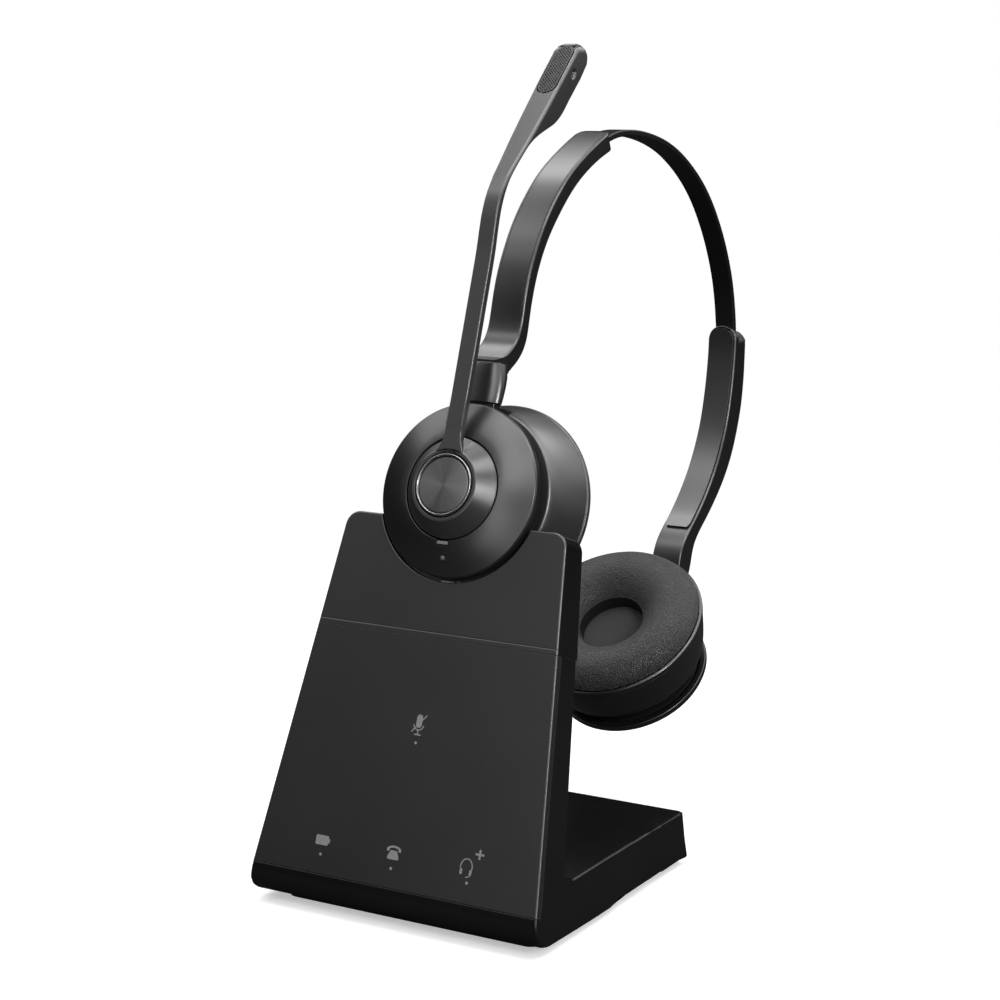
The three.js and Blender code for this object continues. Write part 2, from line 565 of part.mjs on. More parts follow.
const boomSolid = () => {
  const frontOutline = [
    ...BOOM_HALF_FRONT.map(([half, z]) => [-half, z]),
    ...[...BOOM_HALF_FRONT].reverse(),
  ];
  const arm = sidePrism(BOOM_SIDE, 12).intersect(
    prism(frontOutline, [-140, 0], { matrix: FRONT }),
  );
  const body = join(
    lathe(HUB_PROFILE, 40),
    transformed(arm, TO_FRONT_CUP),
    prism(FILLET_PLAN, [5.6, 8.6]),
    sidePrism(WEDGE_SIDE, 2.6),
  );
  return cut(
    body,
    rod(HUB_BORE_R, [0, 12], 40),
    // grille seat, and the capsule's room below it
    tipSlot(3.15, 9.0, 2.6, [-1.5, 3]),
    tipSlot(1.8, 6.0, 1.6, [-5.2, 0]),
    // side port
    transformed(rodX(0.95, [3.1, 8], [99.0, 232.6], 16), TO_FRONT_CUP),
  );
};

const buildFrontCup = () => {
  const cup = leaningGroup(FRONT_CUP);
  addCupPieces(cup, "front", true);
  addFrontElectronics(cup);
  addCallButton(cup);
  add(cup, "boom_arm", boomSolid(), FINISH.boom);
  add(cup, "microphone_grille", tipSlot(2.85, 8.7, 2.3, [-1.2, 0.25], 0.2), FINISH.matte);
  add(cup, "microphone_capsule", tipSlot(1.5, 2.4, 1.2, [-4.8, -1.9]), FINISH.greyPart);
  return cup;
};
const buildRearCup = () => {
  const cup = new THREE.Group();
  cup.applyMatrix4(basis([-1, 0, 0], [0, ...upRear], [0, ...outOfRear], REAR_CUP));
  addCupPieces(cup, "rear", false);
  return cup;
};

// ================================================================ headband
// Side outlines and lines are [y, z] in the stand's frame.
// Rounded end of a neck around the yoke pin, in a cup's frame.
const neckEnd = (atCup) => [
  atCup(26.9, -2.6), atCup(PIN_S, -2.6), atCup(18.9, -3.4), atCup(18.5, -4.4),
  atCup(18.9, -5.3), atCup(PIN_S, -6.1), atCup(27.3, -6.12),
];
const pinBore = (atCup) => rodX(PIN_R + 0.07, [-9, 9], atCup(PIN_S, -PIN_G));

// Inner covers follow part of the inner face, upwards.
const BAND_COVER = {
  line: [
    [65.9, 162.2], [67.0, 166.6], [68.8, 171.9], [71.0, 176.8], [74.1, 181.6],
    [77.3, 186.4], [82.4, 191.7], [88.4, 196.5], [94.4, 201.7],
  ],
  thickness: 0.95,
  half: 4.2,
};
const ARM_COVER = {
  line: [
    [177.0, 89.4], [184.0, 95.9], [190.9, 103.9], [197.9, 115.9], [201.3, 126.9],
    [203.4, 137.3],
  ],
  thickness: 0.75,
  half: 3.7,
};
// A cover lies on the front (-Y) side of its line: inside the band's shell, but proud of
// the slider arm. Its groove also reaches past the line on the other side.
const GROOVE_GAP = 0.3;
const GROOVE_REACH = 0.6;
const coverSolid = ({ line, thickness, half }) => strip(line, 0, -thickness, half);
const coverGroove = ({ line, thickness, half }) =>
  strip(
    extended(line, GROOVE_GAP),
    GROOVE_REACH,
    -(thickness + GROOVE_GAP),
    half + GROOVE_GAP,
  );

const BAND_SIDE = [
  // outer face, from the mouth down to the front lip
  [113.8, 215.9], [111.6, 215.1], [107.9, 213.3], [101.5, 210.7], [95.1, 207.5],
  [88.9, 203.7], [84.8, 200.4], [77.9, 193.9], [72.5, 187.1], [69.8, 183.6], [67.1, 179.2],
  [65.1, 174.3], [63.5, 169.4], [62.2, 164.8], [61.1, 160.9], [59.7, 158.5], [57.0, 156.3],
  [53.3, 154.3], [51.9, 153.2],
  // neck, down into the cup and back
  atFrontCup(36.8, -1.3), atFrontCup(27.5, -1.0), ...neckEnd(atFrontCup),
  atFrontCup(27.5, -6.4), atFrontCup(36, -6.4),
  // underside of the shelf and inner face, back up to the mouth
  [55.8, 150.4], [59.8, 152.2], [63.2, 155.4], [65.0, 158.6], ...BAND_COVER.line,
  [100.3, 204.7], [106.8, 207.4], [112.4, 209.4], [114.3, 210.1], [115.1, 211.6],
  [114.8, 215.0],
];
const ARM_SIDE = [
  // outer face, from the top down
  [211.2, 147.2], [211.7, 146.0], [211.7, 140.9], [211.0, 130.9], [209.3, 121.5],
  [206.2, 114.0], [202.5, 105.6], [197.3, 99.1], [190.9, 92.7], [183.9, 87.0],
  [177.6, 82.4], [174.6, 79.4], [173.2, 76.4], [172.3, 73.2], [170.6, 71.4],
  // neck, down into the cup and back
  atRearCup(36, -1.3), atRearCup(27.5, -1.15), ...neckEnd(atRearCup),
  atRearCup(27.5, -6.35), atRearCup(34.5, -6.4),
  // inner face, back up to the top
  [165.0, 77.6], [166.4, 80.6], [170.6, 84.8], ...ARM_COVER.line, [203.7, 146.0],
  [204.3, 147.2],
];
// Outer face of the spring band, from the front shell over the top to the slider arm.
const SPRING_OUTER = [
  [99.5, 207.6], [104.6, 209.8], [109.6, 212.1], [114.6, 213.9], [119.0, 215.1],
  [123.0, 215.85], [129.3, 216.1], [136.4, 215.8], [142.6, 215.0], [149.4, 213.7],
  [156.1, 212.1], [163.3, 209.1], [170.6, 205.7], [177.7, 201.0], [184.1, 195.9],
  [189.1, 190.7], [193.5, 185.4], [197.4, 179.6], [201.6, 172.0], [204.5, 164.8],
  [206.8, 156.8], [207.8, 150.5], [207.9, 147], [207.9, 121.5],
];
const TONGUE_INNER_Y = 206.1;
const SLOT_HALF = SPRING_W / 2 + SPRING_GAP;

// The band thins to a straight tongue inside the slider arm.
const springSolid = () => {
  const tongueStart = SPRING_OUTER.length - 2;
  const inner = offsetLine(SPRING_OUTER, SPRING_T).map((point, i) =>
    i >= tongueStart ? [TONGUE_INNER_Y, SPRING_OUTER[i][1]] : point,
  );
  return sidePrism([...SPRING_OUTER, ...inner.reverse()], SPRING_W / 2);
};

// The spring band's pocket in the mouth of the front shell.
const springPocket = () => {
  const pocketEdge = (offset) => {
    const edge = offsetLine(SPRING_OUTER.slice(0, 8), offset);
    const [y, z] = edge[0];
    return [[y - 1.2, z - 0.6], ...edge];
  };
  return sidePrism(
    [...pocketEdge(-SPRING_GAP), ...pocketEdge(SPRING_T + SPRING_GAP).reverse()],
    SLOT_HALF,
  );
};

const bandShellSolid = () => {
  // The neck is slightly narrower than the shell.
  const neckOutline = [[37.5, 2], [17, 2], [17, -9], [37.0, -9]].map((p) => atFrontCup(...p));
  const neckCuts = [[-9, -5.6], [5.6, 9]].map((x) => prism(neckOutline, x, { matrix: SIDE }));
  return cut(
    sidePrism(BAND_SIDE, BAND_W / 2, 0.5),
    coverGroove(BAND_COVER),
    springPocket(),
    ...neckCuts,
    pinBore(atFrontCup),
  );
};

const sliderArmSolid = () =>
  cut(
    sidePrism(ARM_SIDE, ARM_W / 2, 0.5),
    // slot for the spring band's tongue
    box([-SLOT_HALF, SLOT_HALF], [TONGUE_INNER_Y - SPRING_GAP, 208.3], [120.8, 150]),
    pinBore(atRearCup),
    coverGroove(ARM_COVER),
  );

const buildHeadband = () => {
  const band = new THREE.Group();
  add(band, "headband_inner_cover", coverSolid(BAND_COVER), FINISH.matte);
  add(band, "headband_shell", bandShellSolid(), FINISH.satinBand);
  add(band, "spring_band", springSolid(), FINISH.spring);
  add(band, "slider_inner_cover", coverSolid(ARM_COVER), FINISH.smoothMatte);
  add(band, "slider_arm", sliderArmSolid(), FINISH.satinBand);
  return band;
};

// ================================================================ whole object
const headset = new THREE.Group();
headset.name = "office_headset_on_stand";
const placed = new THREE.Group();
placed.position.y = -FOOT_Y;
placed.add(buildStand(), buildFrontCup(), buildRearCup(), buildHeadband());
headset.add(placed);
export default headset;
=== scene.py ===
"""Office headset docked on its charging stand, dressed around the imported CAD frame.

Modelled in millimetres, scaled to metres when a piece is finished. World: x across, y from the
face of the stand to its rear, z up. The stand's face leans back. One ear cup is docked on the
face ("front"), the other hangs behind the stand ("rear"), and the headband arches over both.
"""
import bpy
import bmesh
import json
import math
from contextlib import contextmanager

import numpy as np
from mathutils import Matrix, Vector
from mathutils.bvhtree import BVHTree


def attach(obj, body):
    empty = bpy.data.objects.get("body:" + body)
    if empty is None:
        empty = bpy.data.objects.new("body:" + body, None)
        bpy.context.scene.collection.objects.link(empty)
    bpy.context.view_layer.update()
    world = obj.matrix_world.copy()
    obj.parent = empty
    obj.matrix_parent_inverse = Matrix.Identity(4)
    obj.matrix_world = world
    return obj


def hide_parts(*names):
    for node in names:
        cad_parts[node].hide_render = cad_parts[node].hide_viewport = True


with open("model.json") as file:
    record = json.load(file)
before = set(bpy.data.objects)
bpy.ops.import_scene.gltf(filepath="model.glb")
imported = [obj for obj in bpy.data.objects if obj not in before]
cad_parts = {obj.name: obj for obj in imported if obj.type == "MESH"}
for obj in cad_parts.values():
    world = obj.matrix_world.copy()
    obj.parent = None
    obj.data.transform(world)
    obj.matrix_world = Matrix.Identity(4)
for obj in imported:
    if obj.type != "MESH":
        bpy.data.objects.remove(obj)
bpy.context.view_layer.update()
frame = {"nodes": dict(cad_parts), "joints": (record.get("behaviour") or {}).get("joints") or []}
scene = bpy.context.scene
NODES = frame["nodes"]
JOINTS = {joint["name"]: joint for joint in frame["joints"]}

# ------------------------------------------------------------------ frames
MM = 0.001
IDENTITY = Matrix.Identity(4)
CUP_OUT = Vector(JOINTS["boom_swing"]["axis"]).normalized()    # out of the stand's face
CUP_CENTRE = Vector(JOINTS["boom_swing"]["pos_m"]) / MM        # centre of the docked cup's disc
FACE_UP = Vector(JOINTS["dock_lift"]["axis"]).normalized()     # up the stand's face
FACE_SIN, FACE_COS = FACE_UP.y, FACE_UP.z
FOOT_Y = 50.0            # drawing y of the world's origin
FACE_Z = 12.115          # height of the face's bottom edge
REAR_ANGLE = math.radians(52.86)
REAR_SIN, REAR_COS = math.sin(REAR_ANGLE), math.cos(REAR_ANGLE)
REAR_CENTRE = Vector((0, 141.09 - FOOT_Y, 43.21))


def basis(x_axis, y_axis, z_axis, origin=(0, 0, 0)):
    columns = (x_axis, y_axis, z_axis, origin)
    return Matrix([[column[k] for column in columns] for k in range(3)] + [(0, 0, 0, 1)])


def leaning(dy, dz, y, z):
    """Frame at (y, z) whose local y runs along (dy, dz)."""
    return basis((1, 0, 0), (0, dy, dz), (0, -dz, dy), (0, y, z))


YZX = ((0, 1, 0), (0, 0, 1), (1, 0, 0))
ACROSS = basis(*YZX)                                  # outline in local YZ, depth along x
DRAWING = Matrix.Translation((0, -FOOT_Y, 0))         # y = 0 at the face's bottom edge
SIDE_VIEW = DRAWING @ ACROSS
FRONT_VIEW = DRAWING @ basis((1, 0, 0), (0, 0, 1), (0, -1, 0))    # outline in XZ, depth along -y
FACE = DRAWING @ basis((1, 0, 0), FACE_UP, CUP_OUT, (0, 0, FACE_Z))
# cup frames: y up the cup, z out of its disc, origin at the disc's centre
FRONT_CUP = basis((1, 0, 0), FACE_UP, CUP_OUT, CUP_CENTRE)
REAR_CUP = basis((-1, 0, 0), (0, REAR_SIN, REAR_COS), (0, REAR_COS, -REAR_SIN), REAR_CENTRE)
INTO_FACE = FACE.inverted()
INTO_FRONT_CUP = FRONT_CUP.inverted()
INTO_REAR_CUP = REAR_CUP.inverted()
CUPS = (("front", FRONT_CUP), ("rear", REAR_CUP))


def at_cup(up, out):
    """Drawing (y, z) of a point up from the docked cup's centre and out of its disc."""
    return (CUP_CENTRE.y + FOOT_Y + FACE_SIN * up - FACE_COS * out,
            CUP_CENTRE.z + FACE_COS * up + FACE_SIN * out)


def at_rear(up, out):
    return (REAR_CENTRE.y + FOOT_Y + REAR_SIN * up + REAR_COS * out,
            REAR_CENTRE.z + REAR_COS * up - REAR_SIN * out)


# ------------------------------------------------------------------ outlines
def counterclockwise(pts):
    twice_area = sum(a[0] * b[1] - b[0] * a[1] for a, b in zip(pts, pts[1:] + pts[:1]))
    return pts[::-1] if twice_area < 0 else pts


def fillet(profile, steps=4, closed=True):
    """Points of [(x, y, radius)], each corner rounded by its radius (none if left out)."""
    out, n = [], len(profile)
    for i, (x, y, *rest) in enumerate(profile):
        radius = rest[0] if rest else 0
        if not radius or (not closed and i in (0, n - 1)):
            out.append((x, y))
            continue
        corner = Vector((x, y))
        back = Vector(profile[i - 1][:2]) - corner
        ahead = Vector(profile[(i + 1) % n][:2]) - corner
        back_len, ahead_len = back.length, ahead.length
        back.normalize()
        ahead.normalize()
        half = back.angle(ahead) / 2
        if half > math.radians(88):
            out.append((x, y))
            continue
        reach = min(radius / math.tan(half), back_len * 0.49, ahead_len * 0.49)
        fitted = reach * math.tan(half)
        centre = corner + (back + ahead).normalized() * (fitted / math.sin(half))
        start = corner + back * reach - centre
        end = corner + ahead * reach - centre
        a0 = math.atan2(start.y, start.x)
        turn = (math.atan2(end.y, end.x) - a0 + math.pi) % (2 * math.pi) - math.pi
        for k in range(steps + 1):
            a = a0 + turn * k / steps
            out.append((centre.x + fitted * math.cos(a), centre.y + fitted * math.sin(a)))
    return out


def rectangle(x0, x1, y0, y1, radius=0, steps=4):
    return fillet([(x0, y0, radius), (x1, y0, radius), (x1, y1, radius), (x0, y1, radius)], steps)


def slab(x, y, width, height, radius, steps=4):
    """Rounded rectangle about (x, y)."""
    return rectangle(x - width / 2, x + width / 2, y - height / 2, y + height / 2, radius, steps)


def trapezoid(half0, y0, half1, y1, radius0=0, radius1=0, steps=4):
    """Symmetric about x = 0: half width, place and corner radius of each end."""
    return fillet([(-half0, y0, radius0), (half0, y0, radius0),
                   (half1, y1, radius1), (-half1, y1, radius1)], steps)


def circle(radius, count, x=0, y=0, radius_y=None):
    radius_y = radius if radius_y is None else radius_y
    return [(x + radius * math.cos(2 * math.pi * k / count),
             y + radius_y * math.sin(2 * math.pi * k / count)) for k in range(count)]


def spline(pts, per=5):
    """Centripetal Catmull-Rom through the points, end points kept."""
    ctrl = [Vector(p) for p in pts]
    ctrl = [ctrl[0] * 2 - ctrl[1]] + ctrl + [ctrl[-1] * 2 - ctrl[-2]]
    out = []
    for i in range(1, len(ctrl) - 2):
        p0, p1, p2, p3 = ctrl[i - 1:i + 3]
        knots = [0]
        for a, b in ((p0, p1), (p1, p2), (p2, p3)):
            knots.append(knots[-1] + max((b - a).length, 1e-6) ** 0.5)
        t0, t1, t2, t3 = knots
        for k in range(per):
            t = t1 + (t2 - t1) * k / per

            def blend(a, b, ta, tb):
                return a * ((tb - t) / (tb - ta)) + b * ((t - ta) / (tb - ta))

            a1, a2, a3 = blend(p0, p1, t0, t1), blend(p1, p2, t1, t2), blend(p2, p3, t2, t3)
            out.append(tuple(blend(blend(a1, a2, t0, t2), blend(a2, a3, t1, t3), t1, t2)))
    out.append(tuple(ctrl[-2]))
    return out


def smooth_line(pts, count, rounds):
    """Spline resampled to even steps, then relaxed a few rounds with its ends kept."""
    line = np.array(spline(pts), float)
    run = np.r_[0, np.cumsum(np.linalg.norm(np.diff(line, axis=0), axis=1))]
    t = np.linspace(0, run[-1], count)
    line = np.c_[np.interp(t, run, line[:, 0]), np.interp(t, run, line[:, 1])]
    for _ in range(rounds):
        relaxed = line.copy()
        relaxed[1:-1] = (line[:-2] + 2 * line[1:-1] + line[2:]) / 4
        line = relaxed
    return [tuple(p) for p in line]


def offset_line(pts, distance):
    out = []
    for i, p in enumerate(pts):
        a, b = pts[max(i - 1, 0)], pts[min(i + 1, len(pts) - 1)]
        length = math.hypot(b[0] - a[0], b[1] - a[1])
        out.append((p[0] + (b[1] - a[1]) / length * distance,
                    p[1] - (b[0] - a[0]) / length * distance))
    return out


def strip_between(line, offset0, offset1):
    """Outline between two offsets of a line."""
    return offset_line(line, offset0) + offset_line(line, offset1)[::-1]


def stretch_ends(pts, extra):
    """Moves both end points outwards along the line."""
    a, b = Vector(pts[0]) - Vector(pts[1]), Vector(pts[-1]) - Vector(pts[-2])
    return ([tuple(Vector(pts[0]) + a.normalized() * extra)] + list(pts[1:-1])
            + [tuple(Vector(pts[-1]) + b.normalized() * extra)])


# ------------------------------------------------------------------ mesh tools
@contextmanager
def edit(o):
    """The object's mesh as a BMesh, written back at the end."""
    bm = bmesh.new()
    bm.from_mesh(o.data)
    yield bm
    bm.to_mesh(o.data)
    bm.free()


def new_obj(name, verts, faces, place=IDENTITY):
    mesh = bpy.data.meshes.new(name)
    mesh.from_pydata([tuple(v) for v in verts], [], faces)
    mesh.validate()
    o = bpy.data.objects.new(name, mesh)
    scene.collection.objects.link(o)
    with edit(o) as bm:
        bmesh.ops.recalc_face_normals(bm, faces=bm.faces)
    mesh.transform(place)
    return o


def discard(o):
    mesh = o.data
    bpy.data.objects.remove(o)
    bpy.data.meshes.remove(mesh)


def loft(name, low, z0, high, z1, place=IDENTITY):
    """Straight-sided body between two outlines with the same number of points."""
    n = len(low)
    verts = [(x, y, z0) for x, y in low] + [(x, y, z1) for x, y in high]
    faces = [list(range(n))[::-1], list(range(n, 2 * n))]
    faces += [[i, (i + 1) % n, (i + 1) % n + n, i + n] for i in range(n)]
    return new_obj(name, verts, faces, place)


def prism(name, pts, z0, z1, place=IDENTITY):
    pts = counterclockwise(pts)
    return loft(name, pts, z0, pts, z1, place)


def cutter(pts, z0, z1, place=IDENTITY):
    return prism("cutter", pts, z0, z1, place)


def lathe(name, profile, seg, steps=4):
    """Closed profile [(radius, z, corner radius)] turned about local z."""
    verts, rings = [], []
    for r, z in counterclockwise(fillet(profile, steps)):
        if r < 1e-6:
            rings.append([len(verts)])
            verts.append((0, 0, z))
        else:
            rings.append(list(range(len(verts), len(verts) + seg)))
            verts += [(x, y, z) for x, y in circle(r, seg)]
    faces = []
    for a, b in zip(rings, rings[1:] + rings[:1]):
        if len(a) == 1 and len(b) == 1:
            continue
        for k in range(seg):
            k2 = (k + 1) % seg
            if len(a) == 1:
                faces.append([a[0], b[k2], b[k]])
            elif len(b) == 1:
                faces.append([a[k], a[k2], b[0]])
            else:
                faces.append([a[k], a[k2], b[k2], b[k]])
    return new_obj(name, verts, faces)


def join(parts):
    """Merges the meshes into the first object."""
    bm = bmesh.new()
    for part in parts:
        bm.from_mesh(part.data)
    bm.to_mesh(parts[0].data)
    bm.free()
    for part in parts[1:]:
        discard(part)
    return parts[0]


def modify(o, kind, **settings):
    modifier = o.modifiers.new(kind.lower(), kind)
    for key, value in settings.items():
        setattr(modifier, key, value)
    return modifier


def bake(o):
    """Replaces the mesh with its modified state."""
    depsgraph = bpy.context.evaluated_depsgraph_get()
    mesh = bpy.data.meshes.new_from_object(o.evaluated_get(depsgraph))
    old = o.data
    o.modifiers.clear()
    o.data = mesh
    bpy.data.meshes.remove(old)


def boolean(o, cutters, op="DIFFERENCE", merge=True):
    """merge=False keeps seams between coplanar faces, which a flat ring with a hole needs."""
    for c in cutters:
        modify(o, "BOOLEAN", object=c, operation=op, solver="EXACT")
    bake(o)
    for c in cutters:
        discard(c)
    with edit(o) as bm:
        bmesh.ops.remove_doubles(bm, verts=bm.verts, dist=1e-4)
        if merge:
            bmesh.ops.dissolve_limit(bm, angle_limit=math.radians(0.6), verts=bm.verts,
                                     edges=bm.edges)
        bmesh.ops.recalc_face_normals(bm, faces=bm.faces)
    return o


def bevel(o, width, segs=3, angle=30):
    """Rounds every edge sharper than the angle; width is mm, or fn(edge middle, direction)."""
    width_at = width if callable(width) else lambda middle, direction: width
    with edit(o) as bm:
        bm.normal_update()
        before = BVHTree.FromBMesh(bm)
        layers = bm.edges.layers.float
        weight = layers.get("bevel_weight_edge") or layers.new("bevel_weight_edge")
        widths = {}
        for e in bm.edges:
            if len(e.link_faces) == 2 and e.calc_face_angle(0) > math.radians(angle):
                a, b = e.verts[0].co, e.verts[1].co
                widths[e] = width_at((a + b) / 2, (b - a).normalized())
        top = max(list(widths.values()) + [1e-6])
        for e in bm.edges:
            e[weight] = widths.get(e, 0.0) / top
    modify(o, "BEVEL", width=top, segments=segs, limit_method="WEIGHT",
           use_clamp_overlap=False, loop_slide=True, miter_outer="MITER_SHARP")
    bake(o)
    # a rounding never leaves the body it was cut on: pull back the corners that overshoot
    for v in o.data.vertices:
        hit, normal, _, dist = before.find_nearest(v.co)
        if hit is None:
            continue
        if dist > 0.6 * top + 0.02 or ((v.co - hit).dot(normal) > 0.004 and dist > 0.01):
            v.co = hit
    with edit(o) as bm:
        bmesh.ops.remove_doubles(bm, verts=bm.verts, dist=1e-3)
        bmesh.ops.dissolve_degenerate(bm, dist=1e-3, edges=bm.edges)


def close_up(o):
    """Drops loose edges, welds hairline gaps and fills any slit a bevel left open."""
    def rim(bm):
        return [e for e in bm.edges if len(e.link_faces) == 1]

    with edit(o) as bm:
        loose = [e for e in bm.edges if not e.link_faces]
        bmesh.ops.delete(bm, geom=loose, context="EDGES")
        rim_verts = list({v for e in rim(bm) for v in e.verts})
        bmesh.ops.remove_doubles(bm, verts=rim_verts, dist=0.004)
        slits = rim(bm)
        if slits:
            bmesh.ops.holes_fill(bm, edges=slits, sides=0)
        stray = [v for v in bm.verts if not v.link_edges]
        bmesh.ops.delete(bm, geom=stray, context="VERTS")
        bmesh.ops.recalc_face_normals(bm, faces=bm.faces)
    o.data.update()


def dress(o, material):
    o.data.materials.clear()
    o.data.materials.append(MAT[material])


def finish(o, material, body, place=IDENTITY, replaces=None, angle=38, weighted=True):
    """Shades, places in the world in metres, dresses and hands the piece to its body."""
    mesh = o.data
    mesh.polygons.foreach_set("use_smooth", [True] * len(mesh.polygons))
    mesh.set_sharp_from_angle(angle=math.radians(angle))
    if weighted:
        modify(o, "WEIGHTED_NORMAL", keep_sharp=True, weight=50)
        bake(o)
    o.data.transform(Matrix.Scale(MM, 4) @ place)
    dress(o, material)
    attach(o, body)
    if replaces:
        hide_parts(replaces)


# ------------------------------------------------------------------ shader graphs
class Graph:
    """Node tree of a material or world; inputs take a value or another node's socket."""

    def __init__(self, owner, output="ShaderNodeOutputMaterial"):
        self.owner = owner
        owner.use_nodes = True
        self.tree = owner.node_tree
        self.tree.nodes.clear()
        self.out = self.add(output)

    def add(self, kind, inputs=None, **props):
        node = self.tree.nodes.new(kind)
        for key, value in props.items():
            setattr(node, key, value)
        for key, value in (inputs or {}).items():
            self.feed(node.inputs[key], value)
        return node

    def feed(self, socket, value):
        if isinstance(value, bpy.types.NodeSocket):
            self.tree.links.new(value, socket)
        elif value is not None:
            socket.default_value = value

    def texture_space(self):
        self.coord = self.add("ShaderNodeTexCoord").outputs["Object"]

    def surface(self, **inputs):
        """Inputs of the Principled shader, spaces written as underscores."""
        for key, value in inputs.items():
            self.feed(self.bsdf.inputs[key.replace("_", " ")], value)

    def noise(self, scale, detail=3, rough=0.5, vector=None, distortion=0.0, output="Fac"):
        return self.add("ShaderNodeTexNoise", {
            "Scale": scale, "Detail": detail, "Roughness": rough, "Distortion": distortion,
            "Vector": vector or self.coord}).outputs[output]

    def cells(self, scale, feature="F1", vector=None):
        return self.add("ShaderNodeTexVoronoi", {"Scale": scale, "Vector": vector or self.coord},
                        feature=feature).outputs["Distance"]

    def ramp(self, factor, stops):
        """stops: (position, grey or RGB)."""
        node = self.add("ShaderNodeValToRGB", {"Fac": factor})
        elements = node.color_ramp.elements
        while len(elements) < len(stops):
            elements.new(0.5)
        for element, (position, color) in zip(elements, stops):
            element.position = position
            element.color = (*color, 1) if isinstance(color, tuple) else (color,) * 3 + (1,)
        return node.outputs["Color"]

    def math(self, op, a, b=None, clamp=False):
        return self.add("ShaderNodeMath", {0: a, 1: b}, operation=op, use_clamp=clamp).outputs[0]

    def plus(self, a, b):
        return self.math("ADD", a, b)

    def minus(self, a, b):
        return self.math("SUBTRACT", a, b)

    def times(self, a, b):
        return self.math("MULTIPLY", a, b)

    def swing(self, value, gain):
        """A 0-1 value centred on zero, times gain."""
        return self.times(self.minus(value, 0.5), gain)

    def vector_math(self, op, a, b=None):
        node = self.add("ShaderNodeVectorMath", {0: a, 1: b}, operation=op)
        return node.outputs["Value" if op in ("DOT_PRODUCT", "LENGTH") else "Vector"]

    def bump(self, height, strength, distance):
        node = self.add("ShaderNodeBump", {"Strength": strength, "Distance": distance,
                                           "Height": height})
        self.surface(Normal=node.outputs["Normal"])


def principled(name):
    m = Graph(bpy.data.materials.new(name))
    m.bsdf = m.add("ShaderNodeBsdfPrincipled")
    m.feed(m.out.inputs["Surface"], m.bsdf.outputs["BSDF"])
    m.texture_space()
    return m


# ------------------------------------------------------------------ materials
def srgb(level):
    """Linear value of an sRGB grey, 0-255."""
    v = level / 255.0
    return v / 12.92 if v <= 0.04045 else ((v + 0.055) / 1.055) ** 2.4


def edge_highlight_mask(m):
    """Mask for the painted edge highlight: about 1 on edges, 0 on open faces, from the bevelled
    normal against the true one.
    """
    rounded = m.add("ShaderNodeBevel", {"Radius": 0.0005}, samples=4).outputs["Normal"]
    true = m.add("ShaderNodeNewGeometry").outputs["Normal"]
    likeness = m.vector_math("DOT_PRODUCT", rounded, true)
    return m.math("MULTIPLY", m.minus(1.0, likeness), 6.0, clamp=True)


def plastic(name, level, rough, grain, grain_strength, mottling=0.15, rough_var=0.06, edge=0.0,
            spec=0.5, ior=1.45, coat=0.0):
    """Moulded plastic: fine spark texture, slow colour and gloss variation, edges lightened as a
    painted highlight.
    """
    m = principled(name)
    grey = srgb(level)
    m.surface(Roughness=rough, Specular_IOR_Level=spec, IOR=ior)
    slow = m.noise(38, detail=4, rough=0.55)
    fine = m.noise(900, rough=0.6)
    color = m.ramp(slow, [(0.3, grey * (1 - mottling)), (0.7, grey * (1 + mottling))])
    # painted highlight: grey added to the base colour along the bevelled edges
    if edge:
        color = m.add("ShaderNodeMix", {
            "Factor": edge_highlight_mask(m), "A": color, "B": (grey + edge,) * 3 + (1,),
        }, data_type="RGBA").outputs["Result"]
    m.surface(Base_Color=color)
    base_rough = m.plus(m.swing(fine, rough_var), rough)
    m.surface(Roughness=m.plus(base_rough, m.swing(slow, rough_var)))
    if coat:
        m.surface(Coat_Weight=coat, Coat_Roughness=0.06)
    m.bump(m.noise(grain, detail=2, rough=0.7), strength=grain_strength, distance=0.00006)
    return m.owner


def satin(name, level, rough, ior, rough_var=0.03, grain_strength=0.02, edge=0.01):
    return plastic(name, level, rough, grain=5200, grain_strength=grain_strength, mottling=0.05,
                   rough_var=rough_var, edge=edge, spec=1.0, ior=ior)


def metal(name, grey, rough, scratch, tint=(1, 1, 1)):
    m = principled(name)
    m.surface(Metallic=1.0, Roughness=rough)
    n = m.noise(1200, detail=4, rough=0.6)
    dark = tuple(grey * 0.85 * t for t in tint)
    light = tuple(min(1, grey * 1.1) * t for t in tint)
    m.surface(Base_Color=m.ramp(n, [(0.3, dark), (0.7, light)]))
    m.surface(Roughness=m.plus(m.swing(n, 0.15), rough))
    m.bump(m.noise(5000, detail=2, rough=0.6), strength=scratch, distance=0.00003)
    return m.owner


